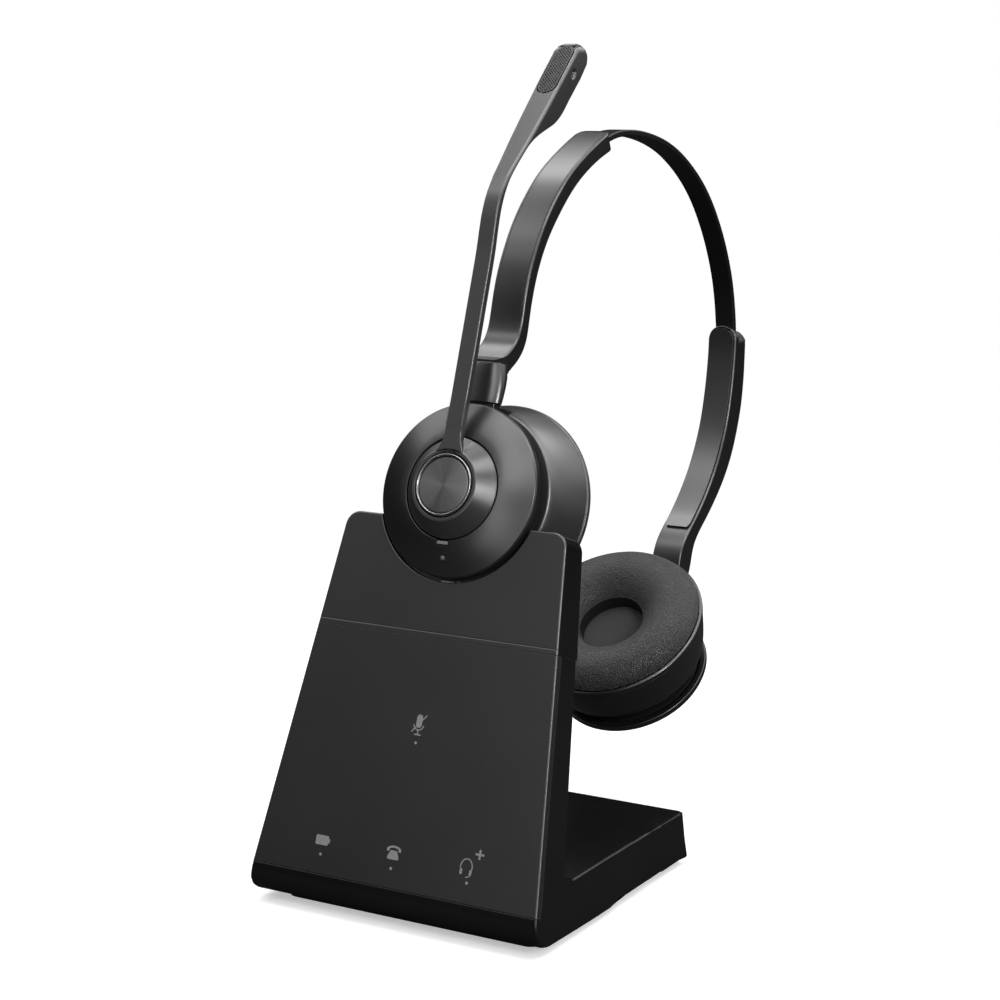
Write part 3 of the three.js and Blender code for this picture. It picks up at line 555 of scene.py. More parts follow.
def spun_metal(name):
    """Lathe-turned face: the fans of reflection about the centre are painted into the base colour
    as a painted reflection; fine rings add real grooves.
    """
    m = principled(name)
    across = FACE_UP.cross(CUP_OUT).normalized()
    offset = m.vector_math("SUBTRACT", m.coord, tuple(CUP_CENTRE * MM))
    x = m.vector_math("DOT_PRODUCT", offset, tuple(across))
    y = m.vector_math("DOT_PRODUCT", offset, tuple(FACE_UP))
    radius = m.vector_math("LENGTH", offset)
    theta = m.math("ARCTAN2", y, x)
    around = m.add("ShaderNodeCombineXYZ", {
        "X": m.times(m.math("COSINE", theta), 1.0),
        "Y": m.times(m.math("SINE", theta), 1.0)}).outputs["Vector"]
    wide = m.noise(2.1, detail=2, rough=0.5, vector=around)
    thin = m.noise(16, detail=3, rough=0.6, vector=around)

    def wave(start, count, gain):
        return m.times(m.math("COSINE", m.times(m.minus(theta, start), count)), gain)

    # waves round the centre: the bright and dark fans of a painted reflection in the base colour
    waves = m.plus(wave(start=0.12, count=2.0, gain=0.5), wave(start=0.9, count=6.0, gain=0.12))
    painted_reflection_fans = m.plus(waves, m.plus(m.swing(wide, 1.0), m.swing(thin, 0.5)))
    painted_reflection_fans = m.math("ADD", m.times(painted_reflection_fans, 0.5), 0.5, clamp=True)
    outward = m.add("ShaderNodeCombineXYZ", {"X": radius}).outputs["Vector"]
    rings = m.noise(9000, detail=2, rough=0.7, vector=outward)
    # base colour mostly from the painted reflection fans, a little from the real ring grooves
    tone = m.plus(m.times(painted_reflection_fans, 0.9), m.times(rings, 0.1))
    m.surface(Base_Color=m.ramp(tone, [(0.1, (0.14, 0.14, 0.142)), (0.9, (0.33, 0.33, 0.334))]),
              Metallic=1.0, Roughness=0.42)
    m.surface(Roughness=m.plus(m.times(rings, 0.05), 0.40))
    m.bump(rings, strength=0.02, distance=0.00001)
    return m.owner


def leather(name):
    """Soft leatherette: pebbled grain, fine creases painted darker as painted shade, a little
    sheen.
    """
    m = principled(name)
    grey = srgb(50)
    m.surface(Roughness=0.48, Specular_IOR_Level=0.6, Sheen_Weight=0.12, Sheen_Roughness=0.45)
    slow = m.noise(55)
    color = m.ramp(slow, [(0.3, grey * 0.72), (0.7, (grey * 1.12, grey * 1.1, grey * 1.08))])
    warp = m.noise(900, detail=2, output="Color")
    shift = m.add("ShaderNodeVectorMath", {0: warp, "Scale": 0.00025}, operation="SCALE")
    warped = m.vector_math("ADD", m.coord, shift.outputs["Vector"])
    pebbles = m.cells(1500, "DISTANCE_TO_EDGE", warped)
    crease = m.ramp(pebbles, [(0.0, 0), (0.16, 1)])
    fold = m.noise(420, detail=4, rough=0.65, distortion=0.8)
    height = m.plus(m.times(crease, 0.6), m.times(fold, 1.4))
    # painted shade: the pebble creases darkened in the base colour
    crease_painted_shade = m.add("ShaderNodeMix", {"Factor": 0.65, "A": color, "B": crease},
                     data_type="RGBA", blend_type="MULTIPLY")
    m.surface(Base_Color=crease_painted_shade.outputs["Result"])
    m.surface(Roughness=m.plus(m.times(fold, 0.12), 0.38))
    m.bump(height, strength=1.0, distance=0.00028)
    return m.owner


def weave(name, place, pitch=0.00042):
    """Plain-weave acoustic cloth; the threads run along the cup's own axes."""
    m = principled(name)
    m.surface(Roughness=0.9, Specular_IOR_Level=0.15, Sheen_Weight=0.25)
    axes = place.to_3x3().col
    a, b = (m.times(m.vector_math("DOT_PRODUCT", m.coord, tuple(axis)), 2 * math.pi / pitch)
            for axis in (axes[0], axes[1]))
    thread_a, thread_b = m.math("SINE", a), m.math("SINE", b)
    half_a, half_b = (m.math("SINE", m.times(v, 0.5)) for v in (a, b))
    over = m.math("GREATER_THAN", m.times(half_a, half_b), 0.0)
    height = m.plus(m.times(m.math("ABSOLUTE", thread_a), over),
                    m.times(m.math("ABSOLUTE", thread_b), m.minus(1.0, over)))
    grey = srgb(55)
    fleck = m.noise(700, rough=0.6)
    tone = m.times(height, m.plus(m.times(fleck, 0.5), 0.6))
    m.surface(Base_Color=m.ramp(tone, [(0.05, grey * 0.35), (0.8, grey * 1.2)]))
    m.bump(height, strength=0.6, distance=0.00008)
    return m.owner


def circuit_board(name):
    m = principled(name)
    m.surface(Roughness=0.35, Specular_IOR_Level=0.5)
    m.surface(Base_Color=m.ramp(m.cells(350), [
        (0.0, (0.35, 0.28, 0.1)), (0.08, (0.01, 0.09, 0.03)), (0.6, (0.02, 0.14, 0.05))]))
    m.bump(m.noise(1500), strength=0.2, distance=0.0001)
    return m.owner


def rubber(name):
    m = principled(name)
    m.surface(Roughness=0.85, Specular_IOR_Level=0.3)
    n = m.noise(2500, detail=4, rough=0.65)
    m.surface(Base_Color=m.ramp(n, [(0.3, 0.008), (0.7, 0.018)]))
    m.bump(n, strength=0.5, distance=0.0001)
    return m.owner


def printed(name, grey=0.22):
    """Screen-printed ink, slightly uneven, with a touch of painted glow though the ink is no
    lamp.
    """
    m = principled(name)
    n = m.noise(3000, rough=0.6)
    ink = m.ramp(n, [(0.3, grey * 0.9), (0.7, grey * 1.08)])
    # painted glow: the ink emits a little light of its own colour
    m.surface(Base_Color=ink, Roughness=0.5, Specular_IOR_Level=0.3, Emission_Strength=0.05,
              Emission_Color=ink)
    m.bump(n, strength=0.1, distance=0.00003)
    return m.owner


MAT = {
    "panel": satin("satin_panel_plastic", level=30, rough=0.36, rough_var=0.04, ior=1.5),
    "head": satin("satin_head_plastic", level=31, rough=0.34, rough_var=0.04, ior=1.56),
    "gloss": plastic("gloss_black_plastic", level=17, rough=0.22, grain=3000,
                     grain_strength=0.01, mottling=0.10, rough_var=0.02, coat=0.15, edge=0.01,
                     spec=0.7),
    "satin": satin("satin_black_plastic", level=24, rough=0.29, ior=1.62),
    # lighter, more reflective copy of the satin black for the front cup's shell: painted light,
    # the same plastic as the rear shell
    "shell": satin("satin_shell_lit_copy_plastic", level=36, rough=0.36, grain_strength=0.03, ior=1.72),
    "strip": satin("satin_strip_plastic", level=26, rough=0.30, ior=1.7),
    "matte": plastic("matte_black_plastic", level=16, rough=0.6, grain=4200,
                     grain_strength=0.10, mottling=0.12),
    "boom": satin("boom_grey_plastic", level=48, rough=0.30, edge=0.02, ior=1.6),
    "grille": plastic("grille_plastic", level=36, rough=0.34, grain=5200, grain_strength=0.05,
                      mottling=0.08, rough_var=0.04, edge=0.02, spec=0.7),
    "spring": plastic("coated_spring_steel", level=14, rough=0.38, grain=4200,
                      grain_strength=0.05, edge=0.02),
    "leather": leather("ear_leatherette"),
    # darker skin for the wall of the cushion's hole: painted shade standing in for the shadow in
    # the hole
    "rim": plastic("cushion_rim_shaded_skin", level=14, rough=0.6, grain=3000, grain_strength=0.2,
                   mottling=0.2),
    "button": spun_metal("spun_button_metal"),
    "chrome": metal("bright_trim_metal", grey=0.5, rough=0.2, scratch=0.02),
    "steel": metal("plated_steel", grey=0.5, rough=0.34, scratch=0.2),
    "iron": metal("ballast_steel", grey=0.25, rough=0.5, scratch=0.5),
    "gold": metal("plated_contact", grey=0.55, rough=0.3, scratch=0.05, tint=(1, 0.98, 0.94)),
    "foil": metal("battery_foil_metal", grey=0.45, rough=0.4, scratch=0.4),
    "board": circuit_board("circuit_board_mask"),
    "rubber": rubber("foot_rubber_compound"),
    "print": printed("icon_ink"),
    "lens": plastic("frosted_light_pipe", level=125, rough=0.35, grain=2500,
                    grain_strength=0.1, mottling=0.05),
    "lens_dark": plastic("smoked_light_pipe", level=95, rough=0.2, grain=2500,
                         grain_strength=0.08, mottling=0.08),
    "cloth_front": weave("front_acoustic_weave", FRONT_CUP),
    "cloth_rear": weave("rear_acoustic_weave", REAR_CUP),
}
# CAD pieces kept as they are
CARRIED = {
    "matte": "front_baffle rear_baffle phone_socket power_socket bottom_cover",
    "steel": """front_yoke_pin rear_yoke_pin cradle_screw_1 cradle_screw_2 base_screw_1
        base_screw_2 base_screw_3 base_screw_4 front_baffle_screw_1 front_baffle_screw_2
        rear_baffle_screw_1 rear_baffle_screw_2 usb_socket front_speaker_driver
        rear_speaker_driver call_switch microphone_capsule""",
    "iron": "ballast_plate",
    "board": "touch_board main_board headset_board",
    "gold": "charge_contact_bar charge_contact_dot",
    "foil": "battery",
}

# ================================================================== stand
FACE_LEN = 103.085
FACE_W0, FACE_W1 = 93.68, 72.0       # face width at its bottom and top edge
PANEL_END, RECESS_END, HEAD_START = 69.84, 69.86, 69.9   # up the face, at the seam
PANEL_T = 2.28
DOCK_UP = 111.64                     # docked cup's centre, up the face
TOP_Z = FACE_Z + FACE_LEN * FACE_COS
DECK_Z = 16.3                        # top of the foot behind the slab
FLOOR_Z = 2.2                        # underside of the housing
REAR_SLOPE = 0.2853                  # lean of the slab's back, y per z
DECK_FILLET = 6.2
LOFT_Z = 112
# (y, z) round the front of the foot, from the face's bottom edge to the underside
CHIN = [(0.0, FACE_Z), (-0.45, 10.3), (-0.72, 8.3), (-0.55, 6.5), (0.2, 5.0), (1.6, 3.75),
        (3.6, 2.85), (6.0, 2.35), (8.5, FLOOR_Z)]


def rear_y(z):
    return 19.2 + (z - 20) * REAR_SLOPE


def face_plan(low, high, radius=0.0):
    """Face outline between two stations up the face, top corners rounded."""
    half_low, half_high = (
        (FACE_W0 + (FACE_W1 - FACE_W0) * up / FACE_LEN) / 2 for up in (low, high))
    return trapezoid(half_low, low, half_high, high, 0, radius, 10)


def deck_arc():
    """Round fillet between the slab's back and the deck, from the slab down."""
    reach = DECK_FILLET * math.tan((math.pi / 2 - math.atan(REAR_SLOPE)) / 2)
    corner = Vector((rear_y(DECK_Z), DECK_Z))
    centre = corner + Vector((1, 0)) * reach + Vector((0, DECK_FILLET))
    start = corner + Vector((REAR_SLOPE, 1.0)).normalized() * reach
    angle = math.atan2(start.y - centre.y, start.x - centre.x)
    if angle < 0:
        angle += 2 * math.pi
    return [(centre.x + DECK_FILLET * math.cos(a), centre.y + DECK_FILLET * math.sin(a))
            for a in np.linspace(angle, 1.5 * math.pi, 12)]


def flank_plan(half, bulge, rear_half, rear):
    """Plan with drafted flanks that swell towards the back, and rounded rear corners."""
    flank = [(half - 0.0352 * y + bulge * max(0.0, (y - 22) / 70) ** 4, y)
             for y in (-6, 22, 34, 46, 58, 68, 76)]
    return fillet(flank + [(rear_half, rear, 2.6), (-rear_half, rear, 2.6)]
                  + [(-x, y) for x, y in flank[::-1]], 6)


def flank_envelope():
    return loft("envelope", flank_plan(48.04, 0.18, 44.92, 94.45), 0,
                flank_plan(36.94, 10.5, 39.6, 81.7), LOFT_Z, DRAWING)


def housing_edge(middle, direction):
    x, up, out = INTO_FACE @ middle
    y = middle.y + FOOT_Y
    if up > 69.0:
        return 0.05                             # seam under the head
    if abs(up) < 0.4 and out < 0.2:
        return 0.34 if out > -0.5 else 0.03     # top edge of the chin
    if middle.z < 12.2 and abs(middle.x) > 40 and y < 8.6:
        return 0.6 + 0.9 * min(max((7.0 - middle.z) / 4.2, 0), 1)   # chin's corners
    if middle.z < 2.6:
        return 1.5 if abs(middle.x) > 40 and y < 86 else 0.25       # underside
    if out > -3.2 and up > 0.4:
        return 0.42                             # rim around the touch panel
    if DECK_Z - 0.6 < middle.z < DECK_Z + 0.6:
        return 0.75
    return 0.6 if abs(middle.x) > 34 else 0.3


def stand_housing():
    outline = (spline(CHIN, 3) + [(100, FLOOR_Z), (100, DECK_Z)] + deck_arc()[::-1]
               + [(rear_y(TOP_Z), TOP_Z), (FACE_LEN * FACE_SIN, TOP_Z)])
    o = prism("housing", outline, -60, 60, SIDE_VIEW)
    o = boolean(o, [flank_envelope()], "INTERSECT")
    boolean(o, [
        # room for the head and for the touch panel
        cutter(rectangle(-60, 60, RECESS_END, 140), -60, 6, FACE),
        cutter(rectangle(-60, 60, -0.04, 90), -2.3, 6, FACE),
        # hollows in the foot and behind the panel
        cutter(trapezoid(41, 14, 40, 88.5, 3, 3, 6), 0, 13.9, DRAWING),
        cutter(trapezoid(36, 9, 29, 72), -7.6, 5, FACE),
    ] + [  # three openings in the rear edge of the foot
        cutter(rectangle(*edges, 0.6), -97, -86, FRONT_VIEW)
        for edges in ((-24.6, -15.4, 4.6, 8.4), (-5.6, 5.6, 4.4, 11.8), (15.4, 23.6, 4.4, 11.8))
    ])
    bevel(o, housing_edge, angle=26)
    close_up(o)
    finish(o, "gloss", "stand", replaces="stand_housing")
    o.name = "stand_housing_shell"


def foot_pad():
    o = prism("foot_pad", trapezoid(41.6, 8.4, 40.6, 90.4, 3.5, 3.5, 8), 0.0, 2.26, DRAWING)
    bevel(o, lambda middle, direction: 0.35 if middle.z < 1 else 0.05, 2)
    finish(o, "rubber", "stand", replaces="rubber_foot")


def panel_edge(middle, direction):
    x, up, out = INTO_FACE @ middle
    if out < -1:
        return 0.03
    if abs(direction.dot(FACE_UP)) > 0.7:
        return 0.62                             # long sides
    return 0.09 if up > 60 else 0.14


def touch_panel():
    o = prism("touch_panel_plate", face_plan(0, PANEL_END), -PANEL_T, 0, FACE)
    bevel(o, panel_edge, 4)
    finish(o, "panel", "stand", replaces="touch_panel")


def head_edge(middle, direction):
    x, up, out = INTO_FACE @ middle
    if up < 72.5 and abs(direction.dot(FACE_UP)) < 0.7:
        return 0.09 if up < 70.4 else 0.02      # seam and the fine groove above it
    if math.hypot(x, up - DOCK_UP) < 27:
        return 0.4 if out > -1 else 0.1         # cup's recess
    if out > -1:
        return 0.62
    return 0.5 if abs(x) > 32 or up > 98 else 0.1


def cradle_head():
    side = [((FACE_LEN - 40) * FACE_SIN, TOP_Z - 40 * FACE_COS), (FACE_LEN * FACE_SIN, TOP_Z),
            (rear_y(TOP_Z), TOP_Z), (rear_y(60), 60)]
    side[0] = (FACE_LEN * FACE_SIN - 40 * FACE_SIN, TOP_Z - 40 * FACE_COS)
    o = prism("cradle_head_shell", face_plan(HEAD_START, FACE_LEN, 4.5), -20, 0, FACE)
    o = boolean(o, [cutter(side, -60, 60, SIDE_VIEW)], "INTERSECT")
    o = boolean(o, [flank_envelope()], "INTERSECT")
    boolean(o, [
        # stepped recess for the docked cup
        cutter(circle(26.0, 192, 0, DOCK_UP), -2.35, 5, FACE),
        cutter(circle(17.85, 128, 0, DOCK_UP), -30, 5, FACE),
        cutter(circle(31.6, 192, 0, DOCK_UP), -30, -5.45, FACE),
        # two narrow slots below the recess
        cutter(rectangle(-1.6, 3.0, 82, 88), -1.45, -0.4, FACE),
        cutter(rectangle(3.6, 4.8, 82, 88), -1.45, -0.4, FACE),
        # fine groove across the face, just above the seam
        cutter([(71.05, 0.3), (71.1, 0.03), (71.5, -0.2), (71.62, 0.3)], -60, 60, FACE @ ACROSS),
    ])
    bevel(o, head_edge, 4, 28)
    finish(o, "head", "stand", replaces="cradle_head")
    # flanks, top and back carry the darker finish of the housing below
    o.data.materials.append(MAT["gloss"])
    for p in o.data.polygons:
        if p.normal.dot(CUP_OUT) < 0.35:
            p.material_index = 1


# ---- printed pictograms, a hair proud of the panel
def ribbon(pts, width):
    """Outline of a stroke along the points."""
    left, right = [], []
    pts = [Vector(p) for p in pts]
    for i, p in enumerate(pts):
        tangent = (pts[min(i + 1, len(pts) - 1)] - pts[max(i - 1, 0)]).normalized()
        normal = Vector((-tangent.y, tangent.x)) * (width / 2)
        left.append(tuple(p + normal))
        right.append(tuple(p - normal))
    return left + right[::-1]


def arc(x, y, rx, ry, start, end, n=14):
    """Points on an ellipse between two angles in degrees."""
    angles = [math.radians(start + (end - start) * i / n) for i in range(n + 1)]
    return [(x + rx * math.cos(a), y + ry * math.sin(a)) for a in angles]


def icon(name, shapes):
    """Each shape stands a micron above the last."""
    o = join([prism(name + "_part", shape, -0.02, 0.022 + 0.001 * i, FACE)
              for i, shape in enumerate(shapes)])
    o.name = name
    finish(o, "print", "stand", angle=30, weighted=False)


def lamp_dot(x, y):
    return circle(0.43, 20, x, y)


def icons():
    x, y = 0.1, 45.4
    icon("icon_microphone", [
        slab(x, y + 1.1, 1.9, 3.7, 0.93, 6),
        ribbon(arc(x, y + 0.7, 1.75, 2.1, 200, 340), 0.34),
        ribbon([(x, y - 1.4), (x, y - 2.6)], 0.36),
        ribbon([(x - 1.1, y - 2.7), (x + 1.1, y - 2.7)], 0.36),
        ribbon([(x - 2.1, y - 2.1), (x + 2.2, y + 3.0)], 0.34),
        lamp_dot(0.1, 40.4)])
    x, y = -24.4, 9.35
    icon("icon_battery", [
        slab(x - 0.25, y, 4.2, 2.7, 0.3), slab(x + 2.15, y, 0.5, 1.3, 0.12),
        lamp_dot(-24.4, 5.4)])
    x, y = -0.7, 9.6
    icon("icon_desk_phone", [
        ribbon(arc(x, y + 0.55, 2.2, 1.25, 25, 155), 0.6),
        slab(x - 1.9, y + 0.85, 0.85, 0.8, 0.2), slab(x + 1.9, y + 0.85, 0.85, 0.8, 0.2),
        fillet([(x - 1.95, y - 1.75, 0.3), (x + 1.95, y - 1.75, 0.3), (x + 1.75, y - 0.75, 0.2),
                (x + 1.0, y + 0.75, 0.3), (x - 1.0, y + 0.75, 0.3), (x - 1.75, y - 0.75, 0.2)],
               3),
        lamp_dot(-0.7, 5.4)])
    x, y = 22.9, 9.7
    icon("icon_headset", [
        ribbon(arc(x, y, 1.85, 2.35, -12, 192, 20), 0.34),
        slab(x - 1.5, y - 1.25, 0.8, 1.6, 0.35), slab(x + 1.5, y - 1.25, 0.8, 1.6, 0.35),
        ribbon(arc(x, y - 1.3, 1.75, 1.35, -85, -8, 8), 0.3),
        ribbon([(x + 2.2, y + 4.0), (x + 4.9, y + 4.0)], 0.62),
        ribbon([(x + 3.55, y + 2.65), (x + 3.55, y + 5.35)], 0.62),
        lamp_dot(23.8, 5.6)])


# ================================================================== ear cups
# Lathe profiles: (radius, z out of the disc, corner radius). The front cup carries the boom.
YOKE_UP, YOKE_OUT = 21.0, -4.35      # yoke pin in a cup's frame
INDICATOR = (0.2, -19.6)             # small round light below the hub
DISC_FRONT = [
    (14.75, 4.0, 0.25), (17.4, 3.35), (20, 2.5), (22.6, 1.46), (24.62, 0.62, 0.3),
    (25.0, 0.05, 0.25), (25.0, -1.8, 0.25), (23.4, -1.8), (23.2, -0.9), (20, 0.7), (17.4, 1.7),
    (14.75, 2.2)]
DISC_REAR = [
    (0, 4.55), (4, 4.5), (8, 4.38), (11.5, 4.15), (14.2, 3.8), (17.4, 3.2), (20, 2.42),
    (22.6, 1.46), (24.62, 0.62, 0.3), (25.0, 0.05, 0.25), (25.0, -1.8, 0.25), (23.4, -1.8),
    (23.2, -0.9), (20, 0.7), (14.5, 2.1), (0, 2.8)]
CORE = [
    (2.6, -6.55), (17.5, -6.55, 0.3), (17.5, -2.2), (22.6, -2.2), (22.6, -1.3), (15.4, -1.3),
    (15.4, -4.9)]
CORE_TUBE = [(9.0, -4.9), (9.0, 6.0, 0.2), (7.4, 6.0, 0.2), (7.4, -4.9)]   # front cup only
CORE_END = [(2.6, -4.9)]
SHELL_FLARE = [(25.6, -7.75), (26.35, -9.6), (27.35, -13.0), (28.35, -17.2), (29.05, -20.6),
               (29.35, -22.2)]
SHELL_LIP_AND_INSIDE = [
    (29.22, -21.55), (28.98, -21.75), (29.5, -22.0, 0.15), (29.68, -23.4, 0.9),
    (28.75, -23.8, 0.3), (28.55, -23.3), (28.0, -22.4), (27.2, -18), (25.4, -10.4),
    (23.6, -8.6), (3, -8.6)]
CLOTH = [(0, -19.45), (5, -19.42), (9, -19.36), (13.3, -19.25, 0.1), (13.6, -18.75), (0, -18.75)]


def yoke_bore(radius, place=IDENTITY):
    return cutter(circle(radius, 32), -12, 12, place @ basis(*YZX, (0, YOKE_UP, YOKE_OUT)))


def cup_disc(side, place):
    """Domed outer disc with a crisp rim."""
    front = side == "front"
    o = lathe(side + "_disc_shell", DISC_FRONT if front else DISC_REAR, 192)
    if front:
        boolean(o, [cutter(slab(0, -15.45, 4.0, 1.7, 0.35), 1, 6),
                    cutter(circle(0.9, 40, *INDICATOR), -1, 6)])
    else:
        # shallow ring groove that echoes the hub on the front cup
        boolean(o, [lathe("cutter", [(14.2, 3.45), (14.7, 3.45), (14.7, 6), (14.2, 6)], 192)])
    bevel(o, 0.12 if front else 0.1, 2, 40)
    finish(o, "satin", "earcup_" + side, place, side + "_outer_disc")


def cup_core(side, place):
    """Core with the yoke's two lugs."""
    o = lathe(side + "_core_moulding", CORE + (CORE_TUBE if side == "front" else []) + CORE_END,
              96)
    lugs = [prism("lug", fillet([(k * 6.1, 14.4), (k * 8.4, 14.4), (k * 8.4, 22.9, 1.2),
                                 (k * 6.1, 22.9, 0.8)], 4), -6.2, -2.55) for k in (-1, 1)]
    o = boolean(o, lugs, "UNION")
    boolean(o, [yoke_bore(1.06)])
    bevel(o, 0.15, 2, 40)
    finish(o, "matte", "earcup_" + side, place, side + "_cup_core")


def cup_shell(side, place):
    """Shell flaring to a rounded lip where the cushion starts."""
    front = side == "front"
    profile = [(3, -6.9), (25.0, -6.9, 0.8)] + spline(SHELL_FLARE, 4)[:-3] + SHELL_LIP_AND_INSIDE
    o = lathe(side + "_shell_moulding", profile, 192)
    cuts = [cutter(trapezoid(7.5, 22.2, 7.5, 31, 1.2, 0, 5), -9.6, -5)]    # for the yoke
    if front:                                                              # volume rocker
        cuts.append(cutter(rectangle(-8, 8, -16.2, -11.8, 0.5), -31, -24.2, ACROSS))
    boolean(o, cuts)
    bevel(o, 0.16, 2, 40)
    # front shell takes the painted-light copy of the satin; the rear shell, in shade, takes the
    # plain satin
    finish(o, "shell" if front else "satin", "earcup_" + side, place,
           side + "_cup_shell")


def cup_cloth(side, place):
    o = lathe(side + "_acoustic_cloth", CLOTH, 96)
    finish(o, "cloth_" + side, "earcup_" + side, place, side + "_speaker_cloth")


# ---- cushions: one foam ring, its crown pushed out by a cloth simulation, used on both cups
CUSHION_DOME = [(10.55, -23.2), (11.3, -24.35), (13.0, -26.2), (15.4, -28.05), (18.2, -29.25),
                (21.3, -29.6), (24.3, -28.95), (26.9, -27.55), (28.5, -25.7), (28.98, -24.3)]
SIM_SCALE = 10.0 * MM        # ten times real size while it is simulated
SWELL_MAX = 1.15
SIM_FRAMES = 20


def coords(mesh):
    co = np.zeros(len(mesh.vertices) * 3)
    mesh.vertices.foreach_get("co", co)
    return co.reshape(-1, 3)


def inflate(o, rest):
    """Simulated vertex places of the ring, its seat and underside pinned."""
    r, z = np.hypot(rest[:, 0], rest[:, 1]) / SIM_SCALE, rest[:, 2] / SIM_SCALE
    pinned = ((z > -24.3) | ((r < 11.2) & (z > -24.6))
              | ((z > -25.6) & (r > 13.0) & (r < 27.0)))
    group = o.vertex_groups.new(name="pin")
    for i in np.where(pinned)[0]:
        group.add([int(i)], 1.0, "REPLACE")
    cloth = modify(o, "CLOTH")
    st = cloth.settings
    st.quality = 6
    st.mass = 0.05
    st.tension_stiffness = st.compression_stiffness = 18
    st.shear_stiffness = 8
    st.bending_stiffness = 0.35
    st.use_pressure = True
    st.uniform_pressure_force = 900
    st.vertex_group_mass = "pin"
    st.effector_weights.gravity = 0.0
    cloth.collision_settings.use_collision = False
    cloth.point_cache.frame_start, cloth.point_cache.frame_end = 1, SIM_FRAMES
    for f in range(1, SIM_FRAMES + 1):
        scene.frame_set(f)
    depsgraph = bpy.context.evaluated_depsgraph_get()
    simulated = coords(o.evaluated_get(depsgraph).data)
    o.modifiers.clear()
    scene.frame_set(1)
    return simulated


def pucker(co):
    """Soft puckers where the skin is pulled over the foam's edges, from fixed waves."""
    angle = np.arctan2(co[:, 1], co[:, 0])
    r, z = np.hypot(co[:, 0], co[:, 1]) / SIM_SCALE, co[:, 2] / SIM_SCALE
    rng = np.random.RandomState(7)
    waves = np.zeros(len(co))
    for k in range(14):
        waves += np.sin(angle * rng.randint(9, 46) + rng.rand() * 6.28) * rng.rand()
    waves /= 4.0
    inner = np.exp(-((r - 12.0) / 1.2) ** 2)
    outer = np.exp(-((r - 27.4) / 1.1) ** 2)
    co[:, 2] += waves * (inner * 0.05 + outer * 0.045) * SIM_SCALE * (z < -24.0)


def cushion_ring():
    profile = ([(13.7, -19.85), (10.6, -19.85, 0.3)] + spline(CUSHION_DOME, 4)
               + [(28.9, -23.6, 0.2), (27.9, -23.5, 0.3), (27.2, -25.0), (13.7, -25.3)])
    o = lathe("cushion_work", profile, 160, steps=5)
    o.data.transform(Matrix.Scale(SIM_SCALE, 4))
    modify(o, "REMESH", mode="VOXEL", voxel_size=0.0088, use_smooth_shade=True)
    bake(o)
    modify(o, "SMOOTH", factor=0.5, iterations=3)
    bake(o)
    rest = coords(o.data)
    swell = inflate(o, rest) - rest
    length = np.linalg.norm(swell, axis=1)
    limit = SWELL_MAX * SIM_SCALE
    swell *= (np.minimum(length, limit) / np.maximum(length, 1e-9))[:, None]
    co = rest + swell
    pucker(co)
    o.data.vertices.foreach_set("co", co.reshape(-1).astype(np.float32))
    o.data.update()
    modify(o, "SUBSURF", levels=1, render_levels=1)
    bake(o)
    o.data.transform(Matrix.Scale(1 / SIM_SCALE, 4))
    return o


def cushions():
    work = cushion_ring()
    for side, place in CUPS:
        o = bpy.data.objects.new(side + "_cushion_skin", work.data.copy())
        scene.collection.objects.link(o)
        finish(o, "leather", "earcup_" + side, place, side + "_ear_cushion",
               angle=60, weighted=False)
    discard(work)
    # dark sleeve round the hole's wall: painted shade for the shadow inside the hole
    for side, place in CUPS:
        o = lathe(side + "_cushion_rim", [
            (10.25, -19.3), (10.85, -19.3), (11.0, -21.5), (11.05, -23.95, 0.3),
            (10.35, -23.75, 0.3), (10.2, -21.5)], 128)
        finish(o, "rim", "earcup_" + side, place, angle=50)


# ---- controls and lights of the front cup
def call_button():
    face = lathe("call_button_face", [
        (0, 8.62), (2.5, 8.6), (5, 8.55), (7.3, 8.46), (7.85, 8.38, 0.15), (7.85, 7.3),
        (8.95, 7.3), (8.95, 6.75), (1.8, 6.75), (1.8, 1.2), (0, 1.2)], 160)
    finish(face, "button", "call_button", FRONT_CUP, "call_button_cap")
    bezel = lathe("call_button_bezel", [
        (8.05, 7.6), (8.95, 7.6), (8.95, 8.45, 0.35), (8.72, 8.88, 0.2), (8.3, 8.88, 0.2),
        (8.05, 8.3, 0.15)], 192, steps=6)
    finish(bezel, "chrome", "call_button", FRONT_CUP, "call_button_trim")


def cup_lights():
    status = prism("status_light_pipe", slab(0, -15.5, 3.4, 1.0, 0.25, 5), 2.0, 3.82)
    bevel(status, 0.12, 2)
    finish(status, "lens", "earcup_front", FRONT_CUP, "status_light_lens")
    indicator = lathe("indicator_light_pipe", [
        (0, 3.2), (0.25, 3.16), (0.5, 3.0), (0.7, 2.7), (0.8, 2.3), (0.82, 0.4), (0, 0.4)], 48)
    indicator.data.transform(Matrix.Translation((*INDICATOR, 0)))
    finish(indicator, "lens_dark", "earcup_front", FRONT_CUP, "indicator_lens")


def volume_rocker():
    outline = fillet([(-27.75, -6.6, 0.9), (-25.0, -6.6), (-25.0, 6.6), (-27.75, 6.6, 0.9),
                      (-27.55, 0, 3)], 5)
    o = prism("volume_rocker_cap", outline, -15.6, -12.4)
    bevel(o, 0.25, 3, 35)
    finish(o, "matte", "volume_rocker", FRONT_CUP, "volume_rocker_key")


